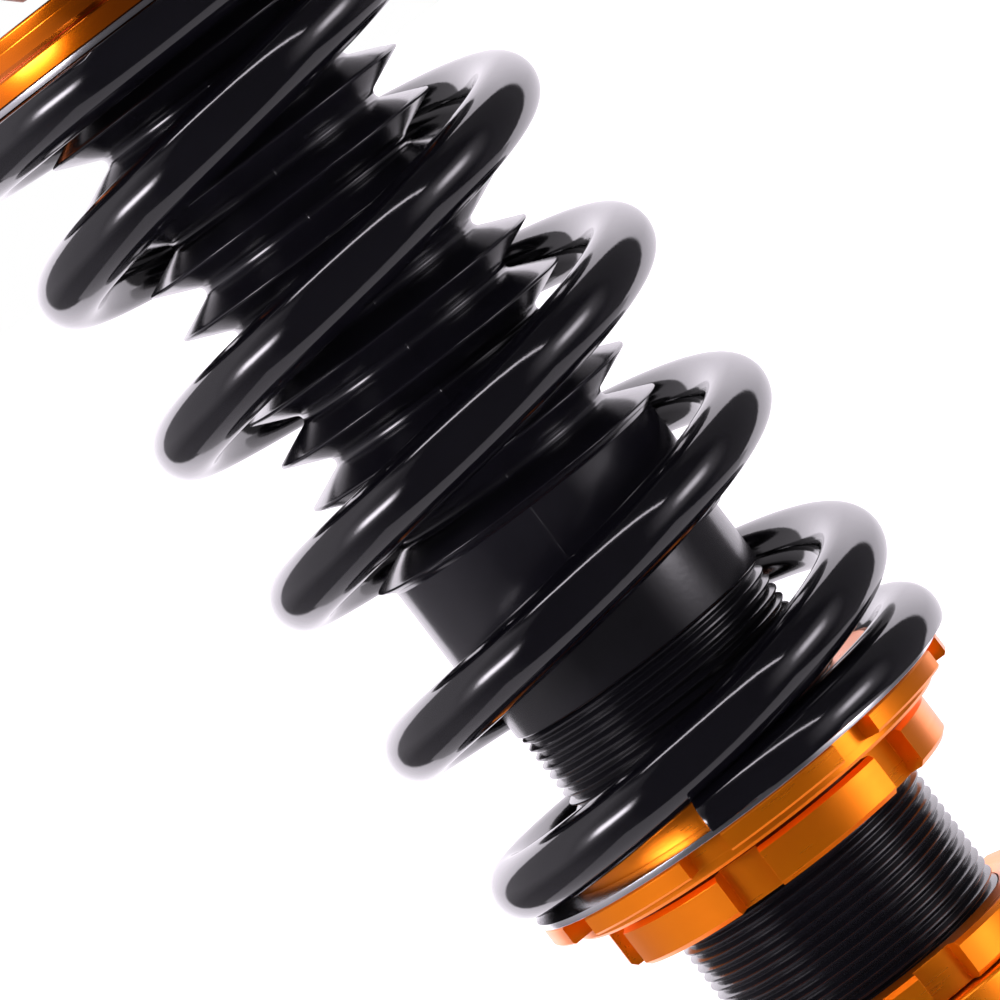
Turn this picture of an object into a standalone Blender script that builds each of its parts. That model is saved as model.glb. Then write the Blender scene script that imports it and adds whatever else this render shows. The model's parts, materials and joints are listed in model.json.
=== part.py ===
"""Coilover: an adjustable spring-and-damper unit, one object for each piece.

+Z runs up the damper's axis, towards the top mount. The origin is on that axis, level with the
top mount's upper face. All driving sizes are in millimetres, and heights named *_Z are measured
from the spring perch's upper face; MM and row_z() turn them into the metres that Blender holds.
"""

import math

import bmesh
import bpy
from mathutils import Matrix, Vector

MM = 0.001
GAP = 0.3  # between neighbouring pieces
CHAMFER = 1.0
SMALL_CHAMFER = 0.5
AXIS_MERGE = 0.00001  # metres

# Top mount
PLATE_TOP_Z = 202.0
PLATE_THICKNESS = 8.0
PLATE_LOBE_RADIUS = 14.0
PLATE_CORE_RADIUS = 37.0
STUD_CIRCLE_RADIUS = 42.0
STUD_COUNT = 3
STUD_RADIUS = 4.0
STUD_LENGTH = 27.0  # above the plate
STUD_HEAD_RADIUS = 7.5
STUD_HEAD_HEIGHT = 2.5
PIVOT_Z = 196.0
NOSE_BOTTOM_Z = 186.5
NOSE_RADIUS = 21.0
HOUSING_FLANGE_RADIUS = 32.0
HOUSING_FLANGE_THICKNESS = 4.0
HOUSING_RIM_HEIGHT = 1.5
HOUSING_LIP_RADIUS = 13.5
HOUSING_SCREW_CIRCLE = 26.5
HOUSING_SCREW_COUNT = 4
SCREW_RADIUS = 2.5
SCREW_HEAD_RADIUS = 4.25
SCREW_HEAD_HEIGHT = 5.0
SCREW_SOCKET_RADIUS = 2.2
SCREW_SOCKET_DEPTH = 2.6
CIRCLIP_GROOVE_DEPTH = 1.2
CIRCLIP_GROOVE_WIDTH = 1.9
CIRCLIP_THICKNESS = 1.3
CIRCLIP_BREADTH = 3.5
CIRCLIP_OPENING = 7.0
RACE_RADIUS = 16.0
RACE_WIDTH = 14.0
BALL_RADIUS = 11.5
BALL_WIDTH = 17.0

# Piston rod and what is clamped to it
ROD_RADIUS = 10.0
ROD_STUD_RADIUS = 6.0
ROD_BORE_RADIUS = 2.2
NEEDLE_RADIUS = 1.8
ROD_TOP_Z = 226.0
ROD_SHOULDER_Z = 174.2
ROD_PISTON_SHOULDER_Z = 26.0
ROD_BOTTOM_Z = -6.0
NEEDLE_PROUD = 5.0  # of the rod's top, inside the knob
KNOB_RADIUS = 7.0
KNOB_NECK_RADIUS = 5.6
KNOB_HEIGHT = 10.0
KNOB_TAPER_HEIGHT = 3.0
NUT_ACROSS_FLATS = 19.0
ROD_NUT_HEIGHT = 10.5
PISTON_NUT_HEIGHT = 8.5
PISTON_NUT_TOP_Z = 5.0
LOWER_SPACER_RADIUS = 11.0
UPPER_SPACER_RADIUS = 9.0
UPPER_SPACER_HEIGHT = 3.4
SHOULDER_WASHER_RADIUS = 15.0
SHOULDER_WASHER_TOP_Z = ROD_SHOULDER_Z + 2.4

# Spring and its seats
SEAT_BOTTOM_Z = 173.95
SEAT_TOP_Z = 184.2
SEAT_FLANGE_TOP_Z = 177.7
SEAT_FLANGE_RADIUS = 44.6
SEAT_CROWN_RADIUS = 41.8
SEAT_BOSS_RADIUS = 35.2
SEAT_BOSS_BOTTOM_Z = 167.0
WASHER_THICKNESS = 0.75
WASHER_RADIUS = 44.2
WIRE_RADIUS = 6.0
SPRING_MEAN_RADIUS = 41.9
SPRING_BOTTOM_Z = 1.35
SPRING_TOP_Z = 172.4
SPRING_PITCH = 34.06
SPRING_LEAD_IN_TURNS = 0.53  # closed end, before the wire starts to climb
SPRING_RAMP_TURNS = 0.556
SPRING_END_SLOPE = 4.32  # per turn, along a closed end
SPRING_END_RISE = 2.15  # of the wire's centre above the ground face, at turn 0
SPRING_TIP_DIP = 1.4  # by which the wire's tip bends down below that slope
SPRING_TIP_TURNS = 0.203
SPRING_TIP_END_TURNS = 0.167
SPRING_TURNS = 6.395
SPRING_START_DEG = -13.0
SPRING_POINTS_PER_TURN = 20

# Dust boot
BOOT_RIDGE_RADIUS = 31.05
BOOT_ROOT_RADIUS = 22.6
BOOT_WALL = 1.0
BOOT_FIRST_RIDGE_Z = 65.2
BOOT_RIDGE_PITCH = 9.51
BOOT_RIDGE_COUNT = 11
BOOT_SKIRT_RADIUS = 28.24
BOOT_SKIRT_BOTTOM_Z = 42.2
BOOT_SKIRT_TOP_Z = 62.8
BOOT_TOP_Z = 172.5

# Damper
BODY_RADIUS = 26.5
BODY_HEAD_RADIUS = 26.9
BODY_BORE_RADIUS = 23.0
THREAD_TOP_Z = 29.6
BODY_TOP_Z = 60.0
BODY_BOTTOM_Z = -84.0
INNER_RADIUS = BODY_BORE_RADIUS - GAP
LAND_RADIUS = INNER_RADIUS - 0.4  # of a piston between its rings
CAP_RADIUS = 26.1
CAP_THICKNESS = 3.0
BASE_PLUG_THICKNESS = 12.0
SEAL_HEAD_BOTTOM_Z = 40.0
SEAL_HEAD_TOP_Z = 56.0
WIPER_POCKET_RADIUS = 15.0
WIPER_POCKET_DEPTH = 4.0
PISTON_BOTTOM_Z = 8.0
PISTON_TOP_Z = 23.2
PISTON_BAND_HEIGHT = 8.0
PISTON_BAND_THICKNESS = 1.7
PORT_COUNT = 6
PORT_CIRCLE_RADIUS = 14.5
PORT_RADIUS = 2.6
SHIM_RADIUS = 18.0
REBOUND_STOP_RADIUS = 16.0
REBOUND_STOP_BOTTOM_Z = ROD_PISTON_SHOULDER_Z + 4.0
FLOATING_PISTON_TOP_Z = -47.5
FLOATING_PISTON_HEIGHT = 10.0
FLOATING_PISTON_DISH = 3.0
FLOATING_GROOVE_DEPTH = 2.4
FLOATING_GROOVE_HEIGHT = 4.0
BUMP_STOP_BOTTOM_Z = 114.0
BUMP_STOP_RADIUS = 19.5
BUMP_STOP_GROOVE_DEPTH = 4.0
BUMP_STOP_GROOVE_HEIGHT = 5.0
BUMP_STOP_GROOVES = (22.5, 41.5)  # above its lower end
BUMP_STOP_TIP_HEIGHT = 3.0

# Rings on the thread
PERCH_RADIUS = 43.95
PERCH_TOOTH_HEIGHT = 3.95
PERCH_HUB_BOTTOM_Z = -6.0
PERCH_HUB_RADIUS = 39.6
PERCH_NOTCH_COUNT = 8
PERCH_NOTCH_WIDTH = 8.6
PERCH_NOTCH_PHASE_DEG = -16.7
PERCH_BOSS_RADIUS = 35.2
PERCH_BOSS_TOP_Z = 7.0
RING_RADIUS = 35.35
RING_HEIGHT = 8.3
RING_NOTCH_COUNT = 6
RING_NOTCH_WIDTH = 9.0
RING_NOTCH_DEPTH = 3.5
PERCH_RING_TOP_Z = -7.2
PERCH_RING_PHASE_DEG = -15.4
LOWER_RING_TOP_Z = -41.9
LOWER_RING_HEIGHT = 7.6
LOWER_RING_PHASE_DEG = 14.0
RING_CHAMFER = 0.8

# Lower mount
MOUNT_TOP_Z = -49.9
MOUNT_RIM_RADIUS = 35.2
MOUNT_RIM_HEIGHT = 14.0
MOUNT_BARREL_RADIUS = 32.0
MOUNT_SHOULDER_HEIGHT = 4.0
MOUNT_BASE_CHAMFER = 8.0
MOUNT_NECK_WIDTH = 36.0
MOUNT_NECK_DEPTH = 30.0
MOUNT_FLOOR_Z = -100.0
MOUNT_BARREL_BOTTOM_Z = -107.0
EYE_Z = -126.0
EYE_RADIUS = 21.0
EYE_WIDTH = 34.0
EYE_BORE_RADIUS = 15.3
OUTER_SLEEVE_WALL = 1.4
SLEEVE_BORE_RADIUS = 6.1
SLEEVE_RADIUS = 9.5
SLEEVE_WIDTH = 40.0

FINE_STEPS = 36
COARSE_STEPS = 24
BOOT_STEPS = 20
SMALL_STEPS = 12
LARGE_HOLE_RADIUS = 8.0
CUT_MARGIN = 4.0  # by which a cutter overshoots what it cuts


def clear_scene():
    for obj in list(bpy.data.objects):
        bpy.data.objects.remove(obj, do_unlink=True)
    for collection in list(bpy.data.collections):
        bpy.data.collections.remove(collection)


def new_collection(name, hidden=False):
    collection = bpy.data.collections.new(name)
    bpy.context.scene.collection.children.link(collection)
    collection.hide_render = hidden
    return collection


def row_z(height):
    """Metres above the origin of a height given in millimetres above the perch face."""
    return (height - PLATE_TOP_Z) * MM


def make_material(name, colour, roughness, metallic):
    material = bpy.data.materials.new(name)
    material.use_nodes = True
    shader = material.node_tree.nodes["Principled BSDF"]
    shader.inputs["Base Color"].default_value = (*colour, 1.0)
    shader.inputs["Roughness"].default_value = roughness
    shader.inputs["Metallic"].default_value = metallic
    return material


clear_scene()
parts = new_collection("coilover")
cutters = new_collection("coilover_cutters", hidden=True)

ORANGE = make_material("anodised_orange", (0.91, 0.22, 0.005), 0.30, 0.8)
MOUNT_BLACK = make_material("anodised_black", (0.02, 0.02, 0.022), 0.40, 0.7)
THREAD_BLACK = make_material("threaded_black", (0.012, 0.012, 0.013), 0.38, 0.6)
SPRING_BLACK = make_material("powder_coat_black", (0.008, 0.008, 0.009), 0.16, 0.0)
RUBBER = make_material("rubber_black", (0.014, 0.014, 0.015), 0.45, 0.0)
WASHER_STEEL = make_material("polished_steel", (0.55, 0.55, 0.56), 0.22, 1.0)
CHROME = make_material("hard_chrome", (0.75, 0.75, 0.76), 0.08, 1.0)
ZINC = make_material("zinc_plated_steel", (0.60, 0.60, 0.58), 0.32, 1.0)
ALUMINIUM = make_material("machined_aluminium", (0.72, 0.72, 0.74), 0.35, 1.0)
SEAL = make_material("seal_rubber", (0.02, 0.02, 0.02), 0.55, 0.0)
PTFE = make_material("bearing_plastic", (0.10, 0.16, 0.13), 0.50, 0.0)
URETHANE = make_material("bump_stop_urethane", (0.60, 0.42, 0.12), 0.55, 0.0)


def add_object(name, mesh, material):
    obj = bpy.data.objects.new(name, mesh)
    parts.objects.link(obj)
    if material:
        mesh.materials.append(material)
    return obj


def smooth(obj, angle_deg=35.0):
    obj.data.shade_smooth()
    obj.data.set_sharp_from_angle(angle=math.radians(angle_deg))


def place_on_axis(obj):
    obj.location = (0.0, 0.0, row_z(0.0))


def turned(name, profile, material, steps=COARSE_STEPS):
    """A Screw of (radius, height) points that run down the outer side and, on a ring, back up inside.

    A profile that starts and ends on the axis stays open there; any other closes on itself.
    """
    mesh = bpy.data.meshes.new(name)
    verts = [(radius * MM, 0.0, height * MM) for radius, height in profile]
    edges = [(i, i + 1) for i in range(len(verts) - 1)]
    if profile[0][0] > 0.0:
        edges.append((len(verts) - 1, 0))
    mesh.from_pydata(verts, edges, [])
    obj = add_object(name, mesh, material)
    screw = obj.modifiers.new("Turn", "SCREW")
    screw.axis = "Z"
    screw.angle = math.tau
    screw.steps = steps
    screw.render_steps = steps
    screw.use_merge_vertices = True
    screw.merge_threshold = AXIS_MERGE
    screw.use_smooth_shade = True
    place_on_axis(obj)
    return obj


def ring(name, outer, inner, bottom, top, material, steps=COARSE_STEPS, chamfer=0.0):
    """A plain ring, with its outer edges chamfered."""
    rim = [(outer, top), (outer, bottom)]
    if chamfer:
        rim = [(outer - chamfer, top), (outer, top - chamfer), (outer, bottom + chamfer), (outer - chamfer, bottom)]
    return turned(name, [(inner, top), *rim, (inner, bottom)], material, steps)


def disc(name, radius, bottom, top, material, steps=COARSE_STEPS):
    return turned(name, [(0, top), (radius, top), (radius, bottom), (0, bottom)], material, steps)


def as_cutter(obj):
    for collection in list(obj.users_collection):
        collection.objects.unlink(obj)
    cutters.objects.link(obj)
    obj.hide_render = True
    obj.display_type = "WIRE"
    return obj


def bmesh_object(name, build, material):
    """An object whose mesh is made by build(bmesh), in millimetres above the perch face."""
    mesh = bpy.data.meshes.new(name)
    work = bmesh.new()
    build(work)
    bmesh.ops.scale(work, vec=(MM, MM, MM), verts=work.verts)
    bmesh.ops.recalc_face_normals(work, faces=work.faces)
    work.to_mesh(mesh)
    work.free()
    obj = add_object(name, mesh, material)
    place_on_axis(obj)
    return obj


def add_cylinder(work, radius, depth, matrix, segments=SMALL_STEPS):
    bmesh.ops.create_cone(
        work, cap_ends=True, segments=segments, radius1=radius, radius2=radius, depth=depth, matrix=matrix
    )


def polar(radius, angle_deg, height=0.0):
    """A point at an angle measured from the front (-Y) towards +X."""
    angle = math.radians(angle_deg)
    return Vector((radius * math.sin(angle), -radius * math.cos(angle), height))


def boolean(obj, other, operation="DIFFERENCE"):
    modifier = obj.modifiers.new(operation.title(), "BOOLEAN")
    modifier.operation = operation
    modifier.solver = "EXACT"
    modifier.object = other
    return obj


def drill(obj, name, holes):
    """Cuts round holes, each (centre, radius, depth), that run along Z."""

    def build(work):
        for centre, radius, depth in holes:
            segments = FINE_STEPS if radius > LARGE_HOLE_RADIUS else SMALL_STEPS
            add_cylinder(work, radius, depth, Matrix.Translation(centre), segments)

    return boolean(obj, as_cutter(bmesh_object(name, build, None)))


def cut_notches(obj, name, count, width, floor_radius, outer_radius, bottom, top, phase_deg):
    """Cuts evenly spaced spanner notches from the rim down to floor_radius."""
    depth = outer_radius - floor_radius + CUT_MARGIN

    def build(work):
        for i in range(count):
            angle_deg = phase_deg + i * 360.0 / count
            centre = polar(floor_radius + depth / 2, angle_deg, (bottom + top) / 2)
            matrix = Matrix.Translation(centre) @ Matrix.Rotation(math.radians(angle_deg), 4, "Z")
            size = Matrix.Diagonal((width, depth, top - bottom, 1.0))
            bmesh.ops.create_cube(work, size=1.0, matrix=matrix @ size)

    return boolean(obj, as_cutter(bmesh_object(name, build, None)))


def hex_nut(name, across_flats, bore_radius, bottom, top, material):
    radius = across_flats / math.sqrt(3.0)

    def build(work):
        matrix = Matrix.Translation((0.0, 0.0, (bottom + top) / 2))
        add_cylinder(work, radius, top - bottom, matrix, segments=6)

    nut = bmesh_object(name, build, material)
    return drill(nut, name + "_bore", [((0, 0, (bottom + top) / 2), bore_radius, top - bottom + CUT_MARGIN)])


def stud_angles():
    return [i * 360.0 / STUD_COUNT for i in range(STUD_COUNT)]


def screw_angles():
    return [45.0 + i * 360.0 / HOUSING_SCREW_COUNT for i in range(HOUSING_SCREW_COUNT)]


def make_top_plate():
    bottom = PLATE_TOP_Z - PLATE_THICKNESS
    middle = (PLATE_TOP_Z + bottom) / 2

    def build(work):
        outlines = [(Vector((0, 0, 0)), PLATE_CORE_RADIUS, FINE_STEPS)]
        outlines += [(polar(STUD_CIRCLE_RADIUS, a), PLATE_LOBE_RADIUS, COARSE_STEPS) for a in stud_angles()]
        for centre, radius, segments in outlines:
            for height in (bottom, PLATE_TOP_Z):
                matrix = Matrix.Translation(centre + Vector((0, 0, height)))
                bmesh.ops.create_circle(work, segments=segments, radius=radius, matrix=matrix)
        hull = bmesh.ops.convex_hull(work, input=work.verts)
        inside = {v for v in hull["geom_interior"] + hull["geom_unused"] if isinstance(v, bmesh.types.BMVert)}
        bmesh.ops.delete(work, geom=list(inside), context="VERTS")
        loose = [edge for edge in work.edges if not edge.link_faces]
        bmesh.ops.delete(work, geom=loose, context="EDGES")

    plate = bmesh_object("top_mount_plate", build, MOUNT_BLACK)
    depth = PLATE_THICKNESS + CUT_MARGIN
    holes = [(Vector((0, 0, middle)), NOSE_RADIUS + GAP, depth)]
    holes += [(polar(STUD_CIRCLE_RADIUS, a, middle), STUD_RADIUS + GAP, depth) for a in stud_angles()]
    holes += [(polar(HOUSING_SCREW_CIRCLE, a, middle), SCREW_RADIUS + GAP, depth) for a in screw_angles()]
    return drill(plate, "top_mount_plate_holes", holes)


def make_studs():
    bottom = PLATE_TOP_Z - PLATE_THICKNESS - GAP
    tip = PLATE_TOP_Z + STUD_LENGTH
    for i, angle_deg in enumerate(stud_angles(), start=1):
        stud = turned(
            f"tower_stud_{i}",
            [
                (0, tip),
                (STUD_RADIUS - CHAMFER, tip),
                (STUD_RADIUS, tip - CHAMFER),
                (STUD_RADIUS, bottom),
                (STUD_HEAD_RADIUS, bottom),
                (STUD_HEAD_RADIUS, bottom - STUD_HEAD_HEIGHT),
                (0, bottom - STUD_HEAD_HEIGHT),
            ],
            ZINC,
            SMALL_STEPS,
        )
        stud.location += polar(STUD_CIRCLE_RADIUS, angle_deg) * MM


def make_bearing():
    flange_bottom = PLATE_TOP_Z + GAP
    flange_top = flange_bottom + HOUSING_FLANGE_THICKNESS
    shoulder = PIVOT_Z - RACE_WIDTH / 2 - GAP
    bore = RACE_RADIUS + GAP
    groove = PIVOT_Z + RACE_WIDTH / 2
    groove_radius = bore + CIRCLIP_GROOVE_DEPTH
    housing = turned(
        "bearing_housing",
        [
            (bore, flange_top + HOUSING_RIM_HEIGHT),
            (NOSE_RADIUS - CHAMFER, flange_top + HOUSING_RIM_HEIGHT),
            (NOSE_RADIUS, flange_top),
            (HOUSING_FLANGE_RADIUS - CHAMFER, flange_top),
            (HOUSING_FLANGE_RADIUS, flange_top - CHAMFER),
            (HOUSING_FLANGE_RADIUS, flange_bottom),
            (NOSE_RADIUS, flange_bottom),
            (NOSE_RADIUS, NOSE_BOTTOM_Z + CHAMFER),
            (NOSE_RADIUS - CHAMFER, NOSE_BOTTOM_Z),
            (HOUSING_LIP_RADIUS, NOSE_BOTTOM_Z),
            (HOUSING_LIP_RADIUS, shoulder),
            (bore, shoulder),
            (bore, groove),
            (groove_radius, groove),
            (groove_radius, groove + CIRCLIP_GROOVE_WIDTH),
            (bore, groove + CIRCLIP_GROOVE_WIDTH),
        ],
        MOUNT_BLACK,
        FINE_STEPS,
    )
    middle = (flange_bottom + flange_top) / 2
    depth = HOUSING_FLANGE_THICKNESS + CUT_MARGIN
    holes = [(polar(HOUSING_SCREW_CIRCLE, a, middle), SCREW_RADIUS + GAP, depth) for a in screw_angles()]
    drill(housing, "bearing_housing_holes", holes)
    make_housing_screws(flange_top + GAP)
    make_race_and_ball()
    make_circlip("bearing_circlip", groove_radius - GAP, groove + GAP)


def make_housing_screws(head_bottom):
    head_top = head_bottom + SCREW_HEAD_HEIGHT
    socket_floor = head_top - SCREW_SOCKET_DEPTH
    tip = PLATE_TOP_Z - PLATE_THICKNESS + SMALL_CHAMFER
    for i, angle_deg in enumerate(screw_angles(), start=1):
        screw = turned(
            f"housing_screw_{i}",
            [
                (0, socket_floor),
                (SCREW_SOCKET_RADIUS, socket_floor),
                (SCREW_SOCKET_RADIUS, head_top),
                (SCREW_HEAD_RADIUS - SMALL_CHAMFER, head_top),
                (SCREW_HEAD_RADIUS, head_top - SMALL_CHAMFER),
                (SCREW_HEAD_RADIUS, head_bottom),
                (SCREW_RADIUS, head_bottom),
                (SCREW_RADIUS, tip),
                (0, tip),
            ],
            ZINC,
            SMALL_STEPS,
        )
        screw.location += polar(HOUSING_SCREW_CIRCLE, angle_deg) * MM


def sphere_arc(radius, half_width, count, rising):
    """Points on a sphere's side about the pivot, up or down between its two flats."""
    limit = math.asin(half_width / radius)
    steps = [limit - 2 * limit * i / (count - 1) for i in range(count)]
    if rising:
        steps.reverse()
    return [(radius * math.cos(a), PIVOT_Z + radius * math.sin(a)) for a in steps]


def make_race_and_ball():
    half = RACE_WIDTH / 2
    race = [(RACE_RADIUS, PIVOT_Z + half), (RACE_RADIUS, PIVOT_Z - half)]
    race += sphere_arc(BALL_RADIUS + GAP, half, 6, rising=True)
    turned("bearing_race", race, ZINC)
    ball = sphere_arc(BALL_RADIUS, BALL_WIDTH / 2, 8, rising=False)
    bore = ROD_STUD_RADIUS + GAP
    ball += [(bore, PIVOT_Z - BALL_WIDTH / 2), (bore, PIVOT_Z + BALL_WIDTH / 2)]
    turned("bearing_ball", ball, CHROME)


def make_circlip(name, outer, bottom):
    """A snap ring: a flat ring with a gap at the front."""
    inner = outer - CIRCLIP_BREADTH
    top = bottom + CIRCLIP_THICKNESS
    clip = ring(name, outer, inner, bottom, top, ZINC)

    def build(work):
        matrix = Matrix.Translation(polar((outer + inner) / 2, 0.0, (bottom + top) / 2))
        size = (CIRCLIP_OPENING, CIRCLIP_BREADTH + 2 * CUT_MARGIN, CIRCLIP_THICKNESS + CUT_MARGIN, 1.0)
        bmesh.ops.create_cube(work, size=1.0, matrix=matrix @ Matrix.Diagonal(size))

    return boolean(clip, as_cutter(bmesh_object(name + "_gap", build, None)))


def make_rod():
    stud = ROD_STUD_RADIUS
    bore = ROD_BORE_RADIUS
    turned(
        "piston_rod",
        [
            (bore, ROD_TOP_Z),
            (stud - CHAMFER, ROD_TOP_Z),
            (stud, ROD_TOP_Z - CHAMFER),
            (stud, ROD_SHOULDER_Z),
            (ROD_RADIUS - SMALL_CHAMFER, ROD_SHOULDER_Z),
            (ROD_RADIUS, ROD_SHOULDER_Z - SMALL_CHAMFER),
            (ROD_RADIUS, ROD_PISTON_SHOULDER_Z),
            (stud, ROD_PISTON_SHOULDER_Z),
            (stud, ROD_BOTTOM_Z),
            (bore, ROD_BOTTOM_Z),
        ],
        CHROME,
    )
    needle_top = ROD_TOP_Z + NEEDLE_PROUD
    disc("metering_needle", NEEDLE_RADIUS, ROD_BOTTOM_Z + CHAMFER, needle_top, ZINC, SMALL_STEPS)
    knob_bottom = ROD_TOP_Z + GAP
    knob_top = knob_bottom + KNOB_HEIGHT
    pocket_radius = NEEDLE_RADIUS + GAP
    turned(
        "damping_knob",
        [
            (0, knob_top),
            (KNOB_RADIUS - CHAMFER, knob_top),
            (KNOB_RADIUS, knob_top - CHAMFER),
            (KNOB_RADIUS, knob_bottom + KNOB_TAPER_HEIGHT),
            (KNOB_NECK_RADIUS, knob_bottom),
            (pocket_radius, knob_bottom),
            (pocket_radius, needle_top + GAP),
            (0, needle_top + GAP),
        ],
        ORANGE,
    )
    make_rod_fittings()


def make_rod_fittings():
    """The spacers, washer and nut that clamp the bearing ball and the spring seat to the rod's shoulder."""
    bore = ROD_STUD_RADIUS + GAP
    spacer_bottom = PIVOT_Z + BALL_WIDTH / 2 + GAP
    spacer_top = spacer_bottom + UPPER_SPACER_HEIGHT
    nut_bottom = spacer_top + GAP
    ball_bottom = PIVOT_Z - BALL_WIDTH / 2
    ring("lower_spacer", LOWER_SPACER_RADIUS, bore, SEAT_TOP_Z + GAP, ball_bottom - GAP, ZINC)
    ring("upper_spacer", UPPER_SPACER_RADIUS, bore, spacer_bottom, spacer_top, ZINC)
    hex_nut("rod_nut", NUT_ACROSS_FLATS, bore, nut_bottom, nut_bottom + ROD_NUT_HEIGHT, ZINC)
    washer_bottom = ROD_SHOULDER_Z + GAP
    ring("shoulder_washer", SHOULDER_WASHER_RADIUS, bore, washer_bottom, SHOULDER_WASHER_TOP_Z, ZINC)


def make_bump_stop():
    """A stack of lobes between grooves, tapering to a softer tip at its lower end."""
    inner = ROD_RADIUS + SMALL_CHAMFER
    wide = BUMP_STOP_RADIUS
    bottom = BUMP_STOP_BOTTOM_Z
    half = BUMP_STOP_GROOVE_HEIGHT / 2
    profile = [(inner, ROD_SHOULDER_Z), (wide, ROD_SHOULDER_Z)]
    for groove in reversed(BUMP_STOP_GROOVES):
        middle = bottom + groove
        profile += [(wide, middle + half), (wide - BUMP_STOP_GROOVE_DEPTH, middle), (wide, middle - half)]
    tip = wide - 1.5 * BUMP_STOP_GROOVE_DEPTH
    profile += [(tip, bottom + BUMP_STOP_TIP_HEIGHT), (tip - CHAMFER, bottom), (inner, bottom)]
    turned("bump_stop", profile, URETHANE)


def make_upper_seat():
    web_bottom = SHOULDER_WASHER_TOP_Z + GAP
    boss_inner = BOOT_RIDGE_RADIUS + 2 * GAP
    turned(
        "upper_spring_seat",
        [
            (ROD_STUD_RADIUS + GAP, SEAT_TOP_Z),
            (SEAT_CROWN_RADIUS - CHAMFER, SEAT_TOP_Z),
            (SEAT_CROWN_RADIUS, SEAT_TOP_Z - CHAMFER),
            (SEAT_CROWN_RADIUS, SEAT_FLANGE_TOP_Z + SMALL_CHAMFER),
            (SEAT_CROWN_RADIUS + SMALL_CHAMFER, SEAT_FLANGE_TOP_Z),
            (SEAT_FLANGE_RADIUS - SMALL_CHAMFER, SEAT_FLANGE_TOP_Z),
            (SEAT_FLANGE_RADIUS, SEAT_FLANGE_TOP_Z - SMALL_CHAMFER),
            (SEAT_FLANGE_RADIUS, SEAT_BOTTOM_Z + SMALL_CHAMFER),
            (SEAT_FLANGE_RADIUS - SMALL_CHAMFER, SEAT_BOTTOM_Z),
            (SEAT_BOSS_RADIUS, SEAT_BOTTOM_Z),
            (SEAT_BOSS_RADIUS, SEAT_BOSS_BOTTOM_Z + CHAMFER),
            (SEAT_BOSS_RADIUS - CHAMFER, SEAT_BOSS_BOTTOM_Z),
            (boss_inner, SEAT_BOSS_BOTTOM_Z),
            (boss_inner, web_bottom),
            (ROD_STUD_RADIUS + GAP, web_bottom),
        ],
        ORANGE,
        FINE_STEPS,
    )
    inner = SEAT_BOSS_RADIUS + GAP
    top = SEAT_BOTTOM_Z - GAP
    ring("upper_spring_washer", WASHER_RADIUS, inner, top - WASHER_THICKNESS, top, WASHER_STEEL, FINE_STEPS)
    bottom = GAP
    inner = PERCH_BOSS_RADIUS + GAP
    ring("lower_spring_washer", WASHER_RADIUS, inner, bottom, bottom + WASHER_THICKNESS, WASHER_STEEL, FINE_STEPS)


def wire_rise(turns):
    """Height of the wire's centre above the lower seat plane, up to the middle of the spring."""
    closed = SPRING_END_RISE + SPRING_END_SLOPE * turns
    tip = max(0.0, (SPRING_TIP_END_TURNS - turns) / SPRING_TIP_TURNS)
    ramp = min(max(turns - SPRING_LEAD_IN_TURNS, 0.0), SPRING_RAMP_TURNS)
    after = max(turns - SPRING_LEAD_IN_TURNS - SPRING_RAMP_TURNS, 0.0)
    climb = SPRING_PITCH - SPRING_END_SLOPE
    return closed - SPRING_TIP_DIP * tip**2 + climb * (ramp**2 / (2 * SPRING_RAMP_TURNS) + after)


def wire_height(turns):
    """The two ends are alike, so the upper half is the lower half turned over."""
    first = SPRING_START_DEG / 360.0
    last = first + SPRING_TURNS
    middle = (first + last) / 2
    span = SPRING_TOP_Z - SPRING_BOTTOM_Z
    if turns <= middle:
        return SPRING_BOTTOM_Z + wire_rise(turns) * span / (2 * wire_rise(middle))
    mirrored = first + last - turns
    return SPRING_TOP_Z - wire_rise(mirrored) * span / (2 * wire_rise(middle))


def make_spring():
    curve = bpy.data.curves.new("coil_spring_path", "CURVE")
    curve.dimensions = "3D"
    curve.bevel_depth = WIRE_RADIUS * MM
    curve.bevel_resolution = 2
    curve.use_fill_caps = True
    spline = curve.splines.new("POLY")
    count = round(SPRING_TURNS * SPRING_POINTS_PER_TURN)
    spline.points.add(count)
    for i, point in enumerate(spline.points):
        turns = SPRING_START_DEG / 360.0 + SPRING_TURNS * i / count
        place = polar(SPRING_MEAN_RADIUS, turns * 360.0, wire_height(turns)) * MM
        point.co = (*place, 1.0)
    path = bpy.data.objects.new("coil_spring_path", curve)
    parts.objects.link(path)
    place_on_axis(path)
    bpy.context.view_layer.update()
    graph = bpy.context.evaluated_depsgraph_get()
    mesh = bpy.data.meshes.new_from_object(path.evaluated_get(graph))
    work = bmesh.new()
    work.from_mesh(mesh)
    bmesh.ops.remove_doubles(work, verts=work.verts, dist=AXIS_MERGE)
    bmesh.ops.recalc_face_normals(work, faces=work.faces)
    work.to_mesh(mesh)
    work.free()
    spring = add_object("coil_spring", mesh, SPRING_BLACK)
    spring.matrix_world = path.matrix_world
    bpy.data.objects.remove(path, do_unlink=True)
    grind_ends(spring)
    smooth(spring)


def grind_ends(spring):
    """Both ends are ground flat, square to the axis."""
    slab = 2 * WIRE_RADIUS
    radius = SPRING_MEAN_RADIUS + 2 * WIRE_RADIUS

    def build(work):
        for middle in (SPRING_BOTTOM_Z - slab / 2, SPRING_TOP_Z + slab / 2):
            add_cylinder(work, radius, slab, Matrix.Translation((0, 0, middle)), segments=FINE_STEPS)

    boolean(spring, as_cutter(bmesh_object("coil_spring_grinding", build, None)))


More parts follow.
